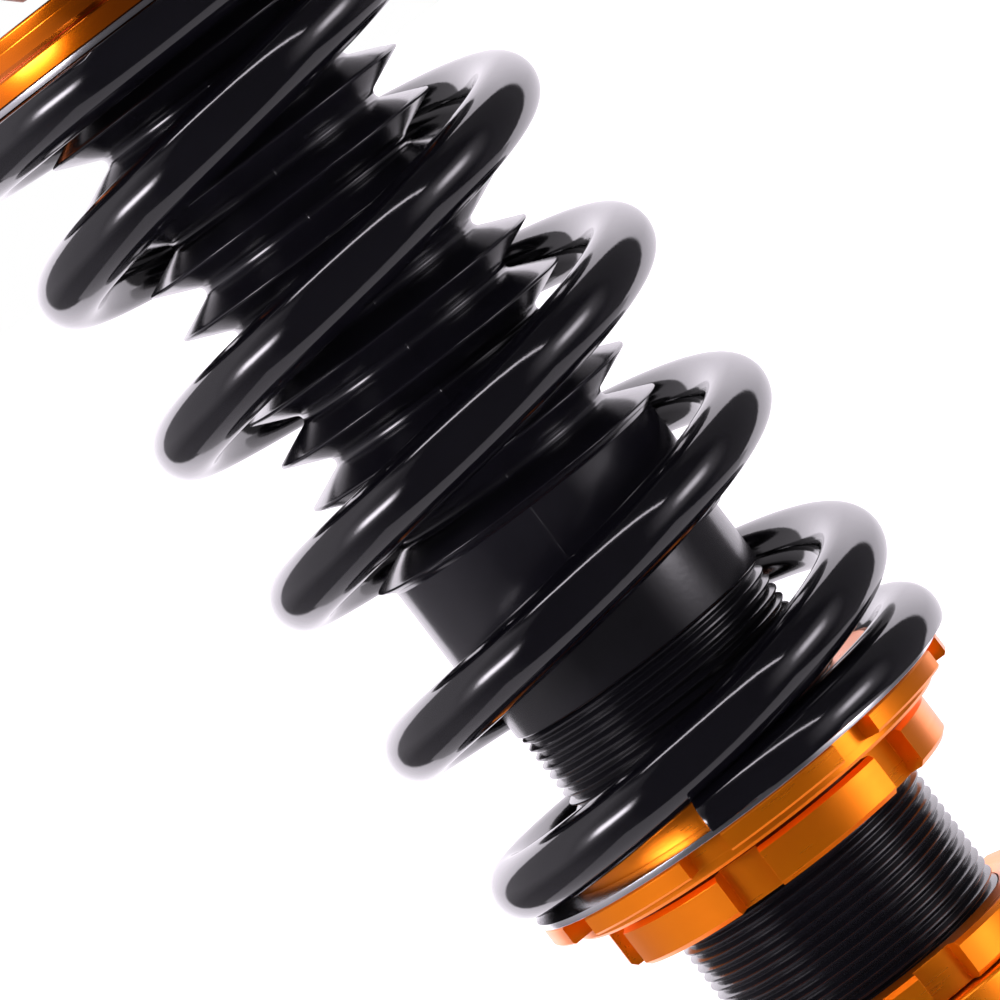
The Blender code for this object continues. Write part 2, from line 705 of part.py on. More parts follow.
def make_boot():
    """A bellows of constant wall: the same zigzag outside and, a wall thickness in, inside."""
    outer = [(BOOT_RIDGE_RADIUS, BOOT_TOP_Z)]
    last = BOOT_FIRST_RIDGE_Z + (BOOT_RIDGE_COUNT - 1) * BOOT_RIDGE_PITCH
    outer.append((BOOT_RIDGE_RADIUS, last + BOOT_RIDGE_PITCH - BOOT_WALL))
    for i in range(BOOT_RIDGE_COUNT):
        ridge = last - i * BOOT_RIDGE_PITCH
        outer.append((BOOT_ROOT_RADIUS, ridge + BOOT_RIDGE_PITCH / 2))
        outer.append((BOOT_RIDGE_RADIUS, ridge))
    outer.append((BOOT_SKIRT_RADIUS, BOOT_SKIRT_TOP_Z))
    outer.append((BOOT_SKIRT_RADIUS, BOOT_SKIRT_BOTTOM_Z))
    inner = [(radius - BOOT_WALL, height) for radius, height in reversed(outer)]
    turned("dust_boot", outer + inner, RUBBER, BOOT_STEPS)


def make_damper_tube():
    bore = BODY_BORE_RADIUS
    groove = SEAL_HEAD_TOP_Z + 0.1
    groove_top = groove + CIRCLIP_GROOVE_WIDTH
    groove_radius = bore + CIRCLIP_GROOVE_DEPTH
    turned(
        "shock_body",
        [
            (bore, BODY_TOP_Z),
            (BODY_HEAD_RADIUS - SMALL_CHAMFER, BODY_TOP_Z),
            (BODY_HEAD_RADIUS, BODY_TOP_Z - SMALL_CHAMFER),
            (BODY_HEAD_RADIUS, THREAD_TOP_Z + SMALL_CHAMFER),
            (BODY_RADIUS, THREAD_TOP_Z),
            (BODY_RADIUS, BODY_BOTTOM_Z + CHAMFER),
            (BODY_RADIUS - CHAMFER, BODY_BOTTOM_Z),
            (bore, BODY_BOTTOM_Z),
            (bore, groove),
            (groove_radius, groove),
            (groove_radius, groove_top),
            (bore, groove_top),
        ],
        THREAD_BLACK,
        FINE_STEPS,
    )
    make_circlip("seal_head_circlip", groove_radius - GAP, groove + GAP)
    cap_bottom = BODY_TOP_Z + GAP
    cap_bore = ROD_RADIUS + 2 * GAP
    ring("body_cap", CAP_RADIUS, cap_bore, cap_bottom, cap_bottom + CAP_THICKNESS, MOUNT_BLACK, chamfer=SMALL_CHAMFER)
    disc("base_plug", INNER_RADIUS, BODY_BOTTOM_Z, BODY_BOTTOM_Z + BASE_PLUG_THICKNESS, ALUMINIUM)


def make_seal_head():
    bore = ROD_RADIUS + GAP
    pocket = SEAL_HEAD_TOP_Z - WIPER_POCKET_DEPTH
    turned(
        "seal_head",
        [
            (WIPER_POCKET_RADIUS, SEAL_HEAD_TOP_Z),
            (INNER_RADIUS, SEAL_HEAD_TOP_Z),
            (INNER_RADIUS, SEAL_HEAD_BOTTOM_Z + CHAMFER),
            (INNER_RADIUS - CHAMFER, SEAL_HEAD_BOTTOM_Z),
            (bore, SEAL_HEAD_BOTTOM_Z),
            (bore, pocket),
            (WIPER_POCKET_RADIUS, pocket),
        ],
        ALUMINIUM,
    )
    ring("wiper_seal", WIPER_POCKET_RADIUS - GAP, bore, pocket + GAP, SEAL_HEAD_TOP_Z - 0.1, SEAL)


def make_piston():
    bore = ROD_STUD_RADIUS + GAP
    middle = (PISTON_TOP_Z + PISTON_BOTTOM_Z) / 2
    band_top = middle + PISTON_BAND_HEIGHT / 2
    band_bottom = middle - PISTON_BAND_HEIGHT / 2
    groove_radius = INNER_RADIUS - PISTON_BAND_THICKNESS - GAP
    piston = turned(
        "piston",
        [
            (bore, PISTON_TOP_Z),
            (LAND_RADIUS, PISTON_TOP_Z),
            (LAND_RADIUS, band_top + GAP),
            (groove_radius, band_top + GAP),
            (groove_radius, band_bottom - GAP),
            (LAND_RADIUS, band_bottom - GAP),
            (LAND_RADIUS, PISTON_BOTTOM_Z),
            (bore, PISTON_BOTTOM_Z),
        ],
        ALUMINIUM,
    )
    depth = PISTON_TOP_Z - PISTON_BOTTOM_Z + CUT_MARGIN
    angles = [i * 360.0 / PORT_COUNT for i in range(PORT_COUNT)]
    drill(piston, "piston_ports", [(polar(PORT_CIRCLE_RADIUS, a, middle), PORT_RADIUS, depth) for a in angles])
    ring("piston_band", INNER_RADIUS, INNER_RADIUS - PISTON_BAND_THICKNESS, band_bottom, band_top, PTFE)
    make_shims("rebound_shims", PISTON_TOP_Z + GAP, 1.0)
    make_shims("compression_shims", PISTON_BOTTOM_Z - GAP, -1.0)
    stop_top = SEAL_HEAD_BOTTOM_Z - GAP
    ring("rebound_stop", REBOUND_STOP_RADIUS, ROD_RADIUS + GAP, REBOUND_STOP_BOTTOM_Z, stop_top, ALUMINIUM)
    hex_nut("piston_nut", NUT_ACROSS_FLATS, bore, PISTON_NUT_TOP_Z - PISTON_NUT_HEIGHT, PISTON_NUT_TOP_Z, ZINC)


def make_shims(name, face, away):
    """A pyramid of spring-steel discs, the widest one on the piston's face; away is +1 up or -1 down."""
    bore = ROD_STUD_RADIUS + GAP
    steps = [(0.0, 1.0), (0.4, 1.0), (1.5, 0.67), (2.2, 0.56)]
    profile = [(SHIM_RADIUS * share, face + away * rise) for rise, share in steps]
    profile = [(bore, profile[0][1]), *profile, (bore, profile[-1][1])]
    if away > 0:
        profile.reverse()
    turned(name, profile, ZINC)


def make_floating_piston():
    top = FLOATING_PISTON_TOP_Z
    bottom = top - FLOATING_PISTON_HEIGHT
    middle = (top + bottom) / 2
    half = FLOATING_GROOVE_HEIGHT / 2
    groove_radius = LAND_RADIUS - FLOATING_GROOVE_DEPTH
    dish_radius = LAND_RADIUS - FLOATING_PISTON_DISH
    turned(
        "floating_piston",
        [
            (0, top - FLOATING_PISTON_DISH),
            (dish_radius - FLOATING_PISTON_DISH, top - FLOATING_PISTON_DISH),
            (dish_radius, top),
            (LAND_RADIUS, top),
            (LAND_RADIUS, middle + half),
            (groove_radius, middle + half),
            (groove_radius, middle - half),
            (LAND_RADIUS, middle - half),
            (LAND_RADIUS, bottom),
            (0, bottom),
        ],
        ALUMINIUM,
    )
    seal_half = half - GAP
    inner = groove_radius + GAP
    seal_bottom = middle - seal_half
    ring("floating_piston_ring", INNER_RADIUS, inner, seal_bottom, middle + seal_half, SEAL, chamfer=SMALL_CHAMFER)


def make_perch():
    bore = BODY_RADIUS + GAP
    hub = PERCH_HUB_RADIUS
    perch = turned(
        "spring_perch",
        [
            (bore, PERCH_BOSS_TOP_Z),
            (PERCH_BOSS_RADIUS - CHAMFER, PERCH_BOSS_TOP_Z),
            (PERCH_BOSS_RADIUS, PERCH_BOSS_TOP_Z - CHAMFER),
            (PERCH_BOSS_RADIUS, 0.0),
            (PERCH_RADIUS - SMALL_CHAMFER, 0.0),
            (PERCH_RADIUS, -SMALL_CHAMFER),
            (PERCH_RADIUS, SMALL_CHAMFER - PERCH_TOOTH_HEIGHT),
            (PERCH_RADIUS - SMALL_CHAMFER, -PERCH_TOOTH_HEIGHT),
            (hub, -PERCH_TOOTH_HEIGHT),
            (hub, PERCH_HUB_BOTTOM_Z + SMALL_CHAMFER),
            (hub - SMALL_CHAMFER, PERCH_HUB_BOTTOM_Z),
            (bore, PERCH_HUB_BOTTOM_Z),
        ],
        ORANGE,
        FINE_STEPS,
    )
    cut_notches(
        perch,
        "spring_perch_notches",
        PERCH_NOTCH_COUNT,
        PERCH_NOTCH_WIDTH,
        hub,
        PERCH_RADIUS,
        -PERCH_TOOTH_HEIGHT - 1.0,
        1.0,
        PERCH_NOTCH_PHASE_DEG,
    )


def make_lock_ring(name, top, height, phase_deg):
    bottom = top - height
    lock = ring(name, RING_RADIUS, BODY_RADIUS + GAP, bottom, top, ORANGE, FINE_STEPS, chamfer=RING_CHAMFER)
    floor = RING_RADIUS - RING_NOTCH_DEPTH
    cut_notches(
        lock,
        name + "_notches",
        RING_NOTCH_COUNT,
        RING_NOTCH_WIDTH,
        floor,
        RING_RADIUS,
        bottom - 1.0,
        top + 1.0,
        phase_deg,
    )


def along_y():
    return Matrix.Translation((0, 0, EYE_Z)) @ Matrix.Rotation(math.radians(90), 4, "X")


def cross_ring(name, outer, inner, width, material):
    """A ring about the eye's axis, which runs along Y."""
    piece = ring(name, outer, inner, -width / 2, width / 2, material)
    piece.matrix_world = Matrix.Translation((0, 0, row_z(EYE_Z))) @ Matrix.Rotation(math.radians(90), 4, "X")
    return piece


def make_lower_mount():
    bore = BODY_RADIUS + GAP
    rim_bottom = MOUNT_TOP_Z - MOUNT_RIM_HEIGHT
    mount = turned(
        "lower_mount",
        [
            (bore, MOUNT_TOP_Z),
            (MOUNT_RIM_RADIUS - CHAMFER, MOUNT_TOP_Z),
            (MOUNT_RIM_RADIUS, MOUNT_TOP_Z - CHAMFER),
            (MOUNT_RIM_RADIUS, rim_bottom),
            (MOUNT_BARREL_RADIUS, rim_bottom - MOUNT_SHOULDER_HEIGHT),
            (MOUNT_BARREL_RADIUS, MOUNT_BARREL_BOTTOM_Z + MOUNT_BASE_CHAMFER),
            (MOUNT_BARREL_RADIUS - MOUNT_BASE_CHAMFER, MOUNT_BARREL_BOTTOM_Z),
            (0, MOUNT_BARREL_BOTTOM_Z),
            (0, MOUNT_FLOOR_Z),
            (bore, MOUNT_FLOOR_Z),
        ],
        ORANGE,
        FINE_STEPS,
    )

    def build_eye(work):
        add_cylinder(work, EYE_RADIUS, EYE_WIDTH, along_y(), segments=FINE_STEPS)

    def build_neck(work):
        bottom = EYE_Z + EYE_RADIUS / 7
        top = MOUNT_BARREL_BOTTOM_Z + 2 * CHAMFER
        size = Matrix.Diagonal((MOUNT_NECK_WIDTH, MOUNT_NECK_DEPTH, top - bottom, 1.0))
        bmesh.ops.create_cube(work, size=1.0, matrix=Matrix.Translation((0, 0, (top + bottom) / 2)) @ size)

    def build_bore(work):
        add_cylinder(work, EYE_BORE_RADIUS, EYE_WIDTH + 2 * CUT_MARGIN, along_y(), segments=COARSE_STEPS)

    boolean(mount, as_cutter(bmesh_object("lower_mount_eye", build_eye, None)), "UNION")
    boolean(mount, as_cutter(bmesh_object("lower_mount_neck", build_neck, None)), "UNION")
    boolean(mount, as_cutter(bmesh_object("lower_mount_bore", build_bore, None)))


def make_bush():
    """The rubber-in-steel bush pressed into the lower eye."""
    outer = EYE_BORE_RADIUS - GAP
    inner = outer - OUTER_SLEEVE_WALL
    cross_ring("bush_outer_sleeve", outer, inner, EYE_WIDTH, ZINC)
    cross_ring("bush_rubber", inner - GAP, SLEEVE_RADIUS + GAP, EYE_WIDTH - 3 * CHAMFER, RUBBER)
    cross_ring("bush_inner_sleeve", SLEEVE_RADIUS, SLEEVE_BORE_RADIUS, SLEEVE_WIDTH, ZINC)


make_top_plate()
make_studs()
make_bearing()
make_rod()
make_bump_stop()
make_upper_seat()
make_spring()
make_boot()
make_damper_tube()
make_seal_head()
make_piston()
make_floating_piston()
make_perch()
make_lock_ring("perch_lock_ring", PERCH_RING_TOP_Z, RING_HEIGHT, PERCH_RING_PHASE_DEG)
make_lock_ring("lower_lock_ring", LOWER_RING_TOP_Z, LOWER_RING_HEIGHT, LOWER_RING_PHASE_DEG)
make_lower_mount()
make_bush()
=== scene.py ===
"""Looks of the coilover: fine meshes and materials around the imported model.

Heights called z are in millimetres above the spring perch's upper face, like the design's own
sizes; at() turns them into metres in the frame, whose origin is level with the top plate.
"""

import json
import math

import bmesh
import bpy
from mathutils import Matrix, Vector
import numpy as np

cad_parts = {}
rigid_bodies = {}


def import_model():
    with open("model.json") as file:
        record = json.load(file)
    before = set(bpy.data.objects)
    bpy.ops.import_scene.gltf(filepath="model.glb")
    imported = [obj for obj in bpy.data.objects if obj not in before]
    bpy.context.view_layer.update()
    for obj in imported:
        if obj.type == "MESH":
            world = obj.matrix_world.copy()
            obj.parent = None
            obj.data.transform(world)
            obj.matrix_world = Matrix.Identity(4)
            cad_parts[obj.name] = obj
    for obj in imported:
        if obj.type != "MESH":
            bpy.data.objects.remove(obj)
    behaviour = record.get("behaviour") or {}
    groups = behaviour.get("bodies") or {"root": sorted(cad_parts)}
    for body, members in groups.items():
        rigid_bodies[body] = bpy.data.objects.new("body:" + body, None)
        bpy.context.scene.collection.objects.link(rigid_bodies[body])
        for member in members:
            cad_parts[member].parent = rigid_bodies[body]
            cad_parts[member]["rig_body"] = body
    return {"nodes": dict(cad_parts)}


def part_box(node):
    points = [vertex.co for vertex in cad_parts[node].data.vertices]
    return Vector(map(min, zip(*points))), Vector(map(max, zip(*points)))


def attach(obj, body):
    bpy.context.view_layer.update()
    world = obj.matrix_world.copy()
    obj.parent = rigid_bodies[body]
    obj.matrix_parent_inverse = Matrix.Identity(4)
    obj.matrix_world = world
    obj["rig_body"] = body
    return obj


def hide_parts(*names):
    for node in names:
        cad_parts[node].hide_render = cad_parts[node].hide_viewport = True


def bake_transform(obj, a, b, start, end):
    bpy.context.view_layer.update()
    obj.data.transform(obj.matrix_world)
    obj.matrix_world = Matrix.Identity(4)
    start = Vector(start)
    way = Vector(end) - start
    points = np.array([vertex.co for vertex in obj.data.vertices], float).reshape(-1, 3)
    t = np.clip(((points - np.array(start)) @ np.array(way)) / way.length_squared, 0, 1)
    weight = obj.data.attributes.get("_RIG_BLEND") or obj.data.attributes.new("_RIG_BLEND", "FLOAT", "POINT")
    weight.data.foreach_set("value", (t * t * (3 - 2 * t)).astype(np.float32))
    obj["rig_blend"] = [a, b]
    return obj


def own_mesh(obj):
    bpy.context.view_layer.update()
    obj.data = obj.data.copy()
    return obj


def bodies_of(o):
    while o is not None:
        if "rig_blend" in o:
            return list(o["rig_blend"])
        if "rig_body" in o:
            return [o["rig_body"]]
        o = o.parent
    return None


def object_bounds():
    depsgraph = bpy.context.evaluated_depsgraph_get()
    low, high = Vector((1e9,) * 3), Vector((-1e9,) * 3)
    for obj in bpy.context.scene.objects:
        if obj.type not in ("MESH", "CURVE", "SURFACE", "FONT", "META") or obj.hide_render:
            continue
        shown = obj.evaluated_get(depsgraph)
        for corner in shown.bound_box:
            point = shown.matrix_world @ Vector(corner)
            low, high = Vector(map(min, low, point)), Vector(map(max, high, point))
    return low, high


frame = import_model()
cad_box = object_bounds()

MM = 0.001
TOP_FACE = -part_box("spring_perch")[1].z / MM + 7.0  # the perch's boss stands 7 mm above its face


def at(height):
    return (height - TOP_FACE) * MM


def low(node):
    """A node's lowest height, in millimetres above the perch face."""
    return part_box(node)[0].z / MM + TOP_FACE


def high(node):
    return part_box(node)[1].z / MM + TOP_FACE


def radius_of(node):
    """Half of a round node's width."""
    lowest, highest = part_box(node)
    return (highest.x - lowest.x) / 2 / MM


# ---------------------------------------------------------------- camera, floor and light


CAMERA_DISTANCE = 1.169  # metres in front of the axis
CAMERA_HEIGHT = 155.4
CAMERA_ANGLES = (-4.396, 0.171, -37.362)  # pitch, yaw and roll in degrees
CAMERA_LENS = 236.64
FLOOR_SIZE = 60.0
FLOOR_DROP = 0.04  # metres below the object


def make_camera():
    pitch, yaw, roll = (math.radians(a) for a in CAMERA_ANGLES)
    camera = bpy.data.objects.new("camera", bpy.data.cameras.new("camera"))
    bpy.context.scene.collection.objects.link(camera)
    camera.data.sensor_width = 36.0
    camera.data.lens = CAMERA_LENS
    upright = Matrix.Rotation(math.radians(90) + pitch, 4, "X")
    turn = Matrix.Rotation(yaw, 4, "Z")
    place = Matrix.Translation((0.0, -CAMERA_DISTANCE, at(CAMERA_HEIGHT)))
    camera.matrix_world = place @ turn @ upright @ Matrix.Rotation(roll, 4, "Z")
    bpy.context.scene.camera = camera


def make_floor():
    place = (0.0, 0.0, cad_box[0].z - FLOOR_DROP)
    bpy.ops.mesh.primitive_plane_add(size=FLOOR_SIZE, location=place)
    floor = bpy.context.object
    floor.name = "floor"
    white = plain_material("floor_white", (0.93, 0.93, 0.93), 0.7)
    shader = white.node_tree.nodes["Principled BSDF"]
    shader.inputs["Emission Color"].default_value = (1.0, 1.0, 1.0, 1.0)
    shader.inputs["Emission Strength"].default_value = 0.35
    floor.data.materials.append(white)
    floor.visible_glossy = False


def node(tree, kind, **inputs):
    """A shader node, with values or links for the sockets named."""
    made = tree.nodes.new(kind)
    for name, value in inputs.items():
        set_socket(tree, made.inputs[name.replace("_", " ")], value)
    return made


def set_socket(tree, socket, value):
    if isinstance(value, bpy.types.NodeSocket):
        tree.links.new(value, socket)
    else:
        socket.default_value = value


def maths(tree, operation, *values):
    made = tree.nodes.new("ShaderNodeMath")
    made.operation = operation
    for socket, value in zip(made.inputs, values):
        set_socket(tree, socket, value)
    return made.outputs[0]


def edge(tree, distance, half, soft):
    """1 well inside half, 0 well outside, soft between."""
    ramp = tree.nodes.new("ShaderNodeMapRange")
    ramp.interpolation_type = "SMOOTHSTEP"
    set_socket(tree, ramp.inputs["Value"], distance)
    ramp.inputs["From Min"].default_value = math.radians(half + soft)
    ramp.inputs["From Max"].default_value = math.radians(max(half - soft, 0.0))
    return ramp.outputs["Result"]


# Each soft box: (azimuth from the front, elevation, half width, half height, softness, strength)
BOXES = (
    (-58.0, 14.5, 11.0, 5.0, 5.0, 23.0),
    (-62.0, 15.0, 14.0, 11.0, 9.0, 1.5),  # glow round the left box
    (62.0, 0.0, 9.0, 6.0, 6.0, 9.5),
    (61.0, 0.0, 20.0, 17.0, 12.0, 1.1),  # glow round the right box
)
FRONT = 0.085  # the unlit studio around the camera
LEFT_WALL = (-46.0, -144.0, -45.0, 60.0)  # azimuths and elevations it covers
RIGHT_WALL = (88.0, 130.0, -40.0, 60.0)
BACKDROP = (130.0, 216.0, -40.0, 78.0)
# The overhead tube's ends, where it crosses the plane at height 1 above the object
STRIP_START, STRIP_END = (-0.40, -0.03), (1.30, -1.25)
STRIP_HALF_WIDTH = 0.04
STRIP_END_SOFT = 0.04
STRIP_STRENGTH = 11.0
# The table's edges at depth 1 below the object: left, right, front, back
TABLE = (-1.07, 1.07, -0.65, 1.19)
TABLE_SOFT = 0.02
TABLE_STRENGTH = 1.05
# Each fade: (value at the first angle, value at the last, first angle, last angle), in degrees
LEFT_RISE = (0.42, 0.8, -142.0, -94.0)
LEFT_FALL = (1.0, 0.28, -88.0, -54.0)
LEFT_BELOW = (0.4, 1.0, -14.0, 4.0)
BACK_ASIDE = (1.2, 2.25, 6.0, 40.0)
BACK_UPWARD = (0.0, 1.1, 2.0, 32.0)
BACK_MIDDLE = 173.0  # azimuth of the backdrop's darkest part
RIGHT_STRENGTH = 0.14
LEFT_SOFT, RIGHT_SOFT, BACK_SOFT, TOP_SOFT = 3.0, 8.0, 1.2, 3.0
STUDIO_TINT = (1.0, 0.94, 1.03, 1.0)
LEAST_SLOPE = 0.001  # keeps the divisions below away from zero


def between(tree, value, lowest, highest, soft):
    """1 from lowest to highest, 0 outside them, soft at both edges."""
    rise = map_range(tree, value, 0.0, 1.0, lowest - soft, lowest + soft)
    fall = map_range(tree, value, 1.0, 0.0, highest - soft, highest + soft)
    return maths(tree, "MULTIPLY", rise, fall)


def fade_over(tree, angle, fade):
    first_value, last_value, first, last = fade
    return map_range(
        tree, angle, first_value, last_value, math.radians(first), math.radians(last)
    )


def product(tree, first, *others):
    for other in others:
        first = maths(tree, "MULTIPLY", first, other)
    return first


def away_from(tree, angle, middle):
    """How far an angle is from middle, which is in degrees."""
    return maths(tree, "ABSOLUTE", maths(tree, "SUBTRACT", angle, math.radians(middle)))


def wall_mask(tree, azimuth, elevation, wall, soft):
    first, last, lowest, highest = (math.radians(a) for a in wall)
    start, end = min(first, last), max(first, last)
    across = between(tree, azimuth, start, end, math.radians(soft))
    upward = between(tree, elevation, lowest, highest, math.radians(TOP_SOFT))
    return maths(tree, "MULTIPLY", across, upward)


def strip_light(tree, xyz):
    """The overhead tube, where a ray crosses the plane at height 1."""
    up = maths(tree, "MAXIMUM", xyz.outputs["Z"], LEAST_SLOPE)
    x, y = (maths(tree, "DIVIDE", xyz.outputs[axis], up) for axis in "XY")
    start, end = Vector(STRIP_START), Vector(STRIP_END)
    along = (end - start).normalized()
    offset_x = maths(tree, "SUBTRACT", x, start.x)
    offset_y = maths(tree, "SUBTRACT", y, start.y)
    along_y = maths(tree, "MULTIPLY", offset_y, along.y)
    length = maths(tree, "MULTIPLY_ADD", offset_x, along.x, along_y)
    across_y = maths(tree, "MULTIPLY", offset_x, -along.y)
    across = maths(tree, "MULTIPLY_ADD", offset_y, along.x, across_y)
    half = STRIP_HALF_WIDTH
    on_tube = between(tree, length, 0.0, (end - start).length, STRIP_END_SOFT)
    on_width = between(tree, across, -half, half, half * 0.4)
    return product(tree, on_tube, on_width, STRIP_STRENGTH)


def table_mask(tree, xyz):
    """1 where a ray going down meets the table."""
    downward = maths(tree, "MULTIPLY", xyz.outputs["Z"], -1.0)
    down = maths(tree, "MAXIMUM", downward, LEAST_SLOPE)
    x, y = (maths(tree, "DIVIDE", xyz.outputs[axis], down) for axis in "XY")
    left, right, front, back = TABLE
    across = between(tree, x, left, right, TABLE_SOFT)
    return product(tree, across, between(tree, y, front, back, TABLE_SOFT))


def studio_light(tree):
    """Radiance of the room in each direction, as the object's reflections show it."""
    direction = tree.nodes.new("ShaderNodeTexCoord").outputs["Generated"]
    xyz = node(tree, "ShaderNodeSeparateXYZ", Vector=direction)
    to_front = maths(tree, "MULTIPLY", xyz.outputs["Y"], -1.0)
    azimuth = maths(tree, "ARCTAN2", xyz.outputs["X"], to_front)
    elevation = maths(tree, "ARCSINE", xyz.outputs["Z"])
    on_left = maths(tree, "LESS_THAN", azimuth, 0.0)
    round_back = maths(tree, "ADD", azimuth, maths(tree, "MULTIPLY", on_left, math.tau))
    rise = fade_over(tree, azimuth, LEFT_RISE)
    fall = fade_over(tree, azimuth, LEFT_FALL)
    below = fade_over(tree, elevation, LEFT_BELOW)
    left_wall = wall_mask(tree, azimuth, elevation, LEFT_WALL, LEFT_SOFT)
    left = product(tree, rise, fall, below, left_wall)
    right_wall = wall_mask(tree, azimuth, elevation, RIGHT_WALL, RIGHT_SOFT)
    right = product(tree, right_wall, RIGHT_STRENGTH)
    aside_glow = fade_over(tree, away_from(tree, round_back, BACK_MIDDLE), BACK_ASIDE)
    glow = maths(tree, "ADD", aside_glow, fade_over(tree, elevation, BACK_UPWARD))
    back = product(tree, wall_mask(tree, round_back, elevation, BACKDROP, BACK_SOFT), glow)
    total = FRONT
    for light in (left, right, back, strip_light(tree, xyz)):
        total = maths(tree, "ADD", light, total)
    for box_azimuth, box_elevation, half_width, half_height, soft, strength in BOXES:
        aside = edge(tree, away_from(tree, azimuth, box_azimuth), half_width, soft)
        above = edge(tree, away_from(tree, elevation, box_elevation), half_height, soft)
        total = maths(tree, "MULTIPLY_ADD", product(tree, aside, above), strength, total)
    on_table = table_mask(tree, xyz)
    beyond = product(tree, total, maths(tree, "SUBTRACT", 1.0, on_table))
    return maths(tree, "MULTIPLY_ADD", on_table, TABLE_STRENGTH, beyond)


def make_world():
    world = bpy.data.worlds.new("studio")
    bpy.context.scene.world = world
    world.use_nodes = True
    tree = world.node_tree
    tree.nodes.clear()
    kind = "ShaderNodeBackground"
    studio = node(tree, kind, Color=STUDIO_TINT, Strength=studio_light(tree))
    backdrop = node(tree, kind, Color=(1.0, 1.0, 1.0, 1.0), Strength=1.0)
    seen = tree.nodes.new("ShaderNodeLightPath").outputs["Is Camera Ray"]
    mix = tree.nodes.new("ShaderNodeMixShader")
    tree.links.new(seen, mix.inputs[0])
    tree.links.new(studio.outputs[0], mix.inputs[1])
    tree.links.new(backdrop.outputs[0], mix.inputs[2])
    output = tree.nodes.new("ShaderNodeOutputWorld")
    tree.links.new(mix.outputs[0], output.inputs["Surface"])


# ---------------------------------------------------------------- materials


def plain_material(name, colour, roughness, metallic=0.0):
    material = bpy.data.materials.new(name)
    material.use_nodes = True
    shader = material.node_tree.nodes["Principled BSDF"]
    shader.inputs["Base Color"].default_value = (*colour, 1.0)
    shader.inputs["Roughness"].default_value = roughness
    shader.inputs["Metallic"].default_value = metallic
    return material


EYE_BELOW_ORIGIN = 328.0  # the eye's axis below the frame's origin, in millimetres
MARK_STRETCH = 0.6  # how fast turning marks change round the axis


def place_coordinates(tree, kind):
    """Texture coordinates in millimetres.

    They are plain, or (radius, height, angle) about an axis for turning marks.
    """
    coordinates = tree.nodes.new("ShaderNodeTexCoord").outputs["Object"]
    scaled = node(tree, "ShaderNodeVectorMath", Vector=coordinates)
    scaled.operation = "SCALE"
    scaled.inputs["Scale"].default_value = 1.0 / MM
    if kind == "plain":
        return scaled.outputs[0]
    xyz = node(tree, "ShaderNodeSeparateXYZ", Vector=scaled.outputs[0])
    x, y, z = (xyz.outputs[i] for i in range(3))
    if kind == "turned_about_y":
        y, z = maths(tree, "ADD", z, EYE_BELOW_ORIGIN), y
    squares = [maths(tree, "POWER", side, 2.0) for side in (x, y)]
    radius = maths(tree, "SQRT", maths(tree, "ADD", *squares))
    around = maths(tree, "MULTIPLY", maths(tree, "ARCTAN2", x, y), MARK_STRETCH)
    joined = node(tree, "ShaderNodeCombineXYZ", X=radius, Y=z, Z=around)
    return joined.outputs[0]


def noise(tree, vector, scale, detail=3.0, distortion=0.0):
    made = node(tree, "ShaderNodeTexNoise", Vector=vector, Scale=scale, Detail=detail)
    made.inputs["Distortion"].default_value = distortion
    return made.outputs["Fac"]


def map_range(tree, value, low_value, high_value, from_low=0.3, from_high=0.7):
    ramp = tree.nodes.new("ShaderNodeMapRange")
    for name, number in (
        ("From Min", from_low),
        ("From Max", from_high),
        ("To Min", low_value),
        ("To Max", high_value),
    ):
        ramp.inputs[name].default_value = number
    set_socket(tree, ramp.inputs["Value"], value)
    return ramp.outputs["Result"]


def finish_material(
    name,
    colour,
    second,
    roughness,
    metallic=0.0,
    layout="plain",
    patch=0.08,
    grain=1.2,
    grain_depth=0.004,
    fine=6.0,
    fine_depth=0.0,
    coat=0.0,
    coat_roughness=0.1,
    ior=1.5,
):
    """Colour and roughness drift in soft patches; grain makes the relief.

    colour and second are the two colours the patches drift between, roughness the lowest and
    highest. The depths are in millimetres, and finer grain lies over the grain if it has a depth.
    """
    material = plain_material(name, colour, roughness[0], metallic)
    tree = material.node_tree
    shader = tree.nodes["Principled BSDF"]
    shader.inputs["IOR"].default_value = ior
    shader.inputs["Coat Weight"].default_value = coat
    shader.inputs["Coat Roughness"].default_value = coat_roughness
    plain = place_coordinates(tree, "plain")
    marks = place_coordinates(tree, layout)
    patches = noise(tree, plain, patch, 4.0, 0.3)
    grains = noise(tree, marks, grain, 3.0)
    mix = tree.nodes.new("ShaderNodeMix")
    mix.data_type = "RGBA"
    tree.links.new(map_range(tree, patches, 0.0, 1.0), mix.inputs["Factor"])
    mix.inputs["A"].default_value = (*colour, 1.0)
    mix.inputs["B"].default_value = (*second, 1.0)
    tree.links.new(mix.outputs["Result"], shader.inputs["Base Color"])
    drift = maths(tree, "MULTIPLY_ADD", grains, 0.5, maths(tree, "MULTIPLY", patches, 0.5))
    tree.links.new(map_range(tree, drift, *roughness), shader.inputs["Roughness"])
    bump = node(tree, "ShaderNodeBump", Height=grains)
    bump.inputs["Distance"].default_value = grain_depth * MM
    bump.inputs["Strength"].default_value = 1.0
    if fine_depth:
        fine_grains = noise(tree, marks, fine, 2.0)
        finer = node(tree, "ShaderNodeBump", Height=fine_grains, Normal=bump.outputs[0])
        finer.inputs["Distance"].default_value = fine_depth * MM
        bump = finer
    tree.links.new(bump.outputs[0], shader.inputs["Normal"])
    return material


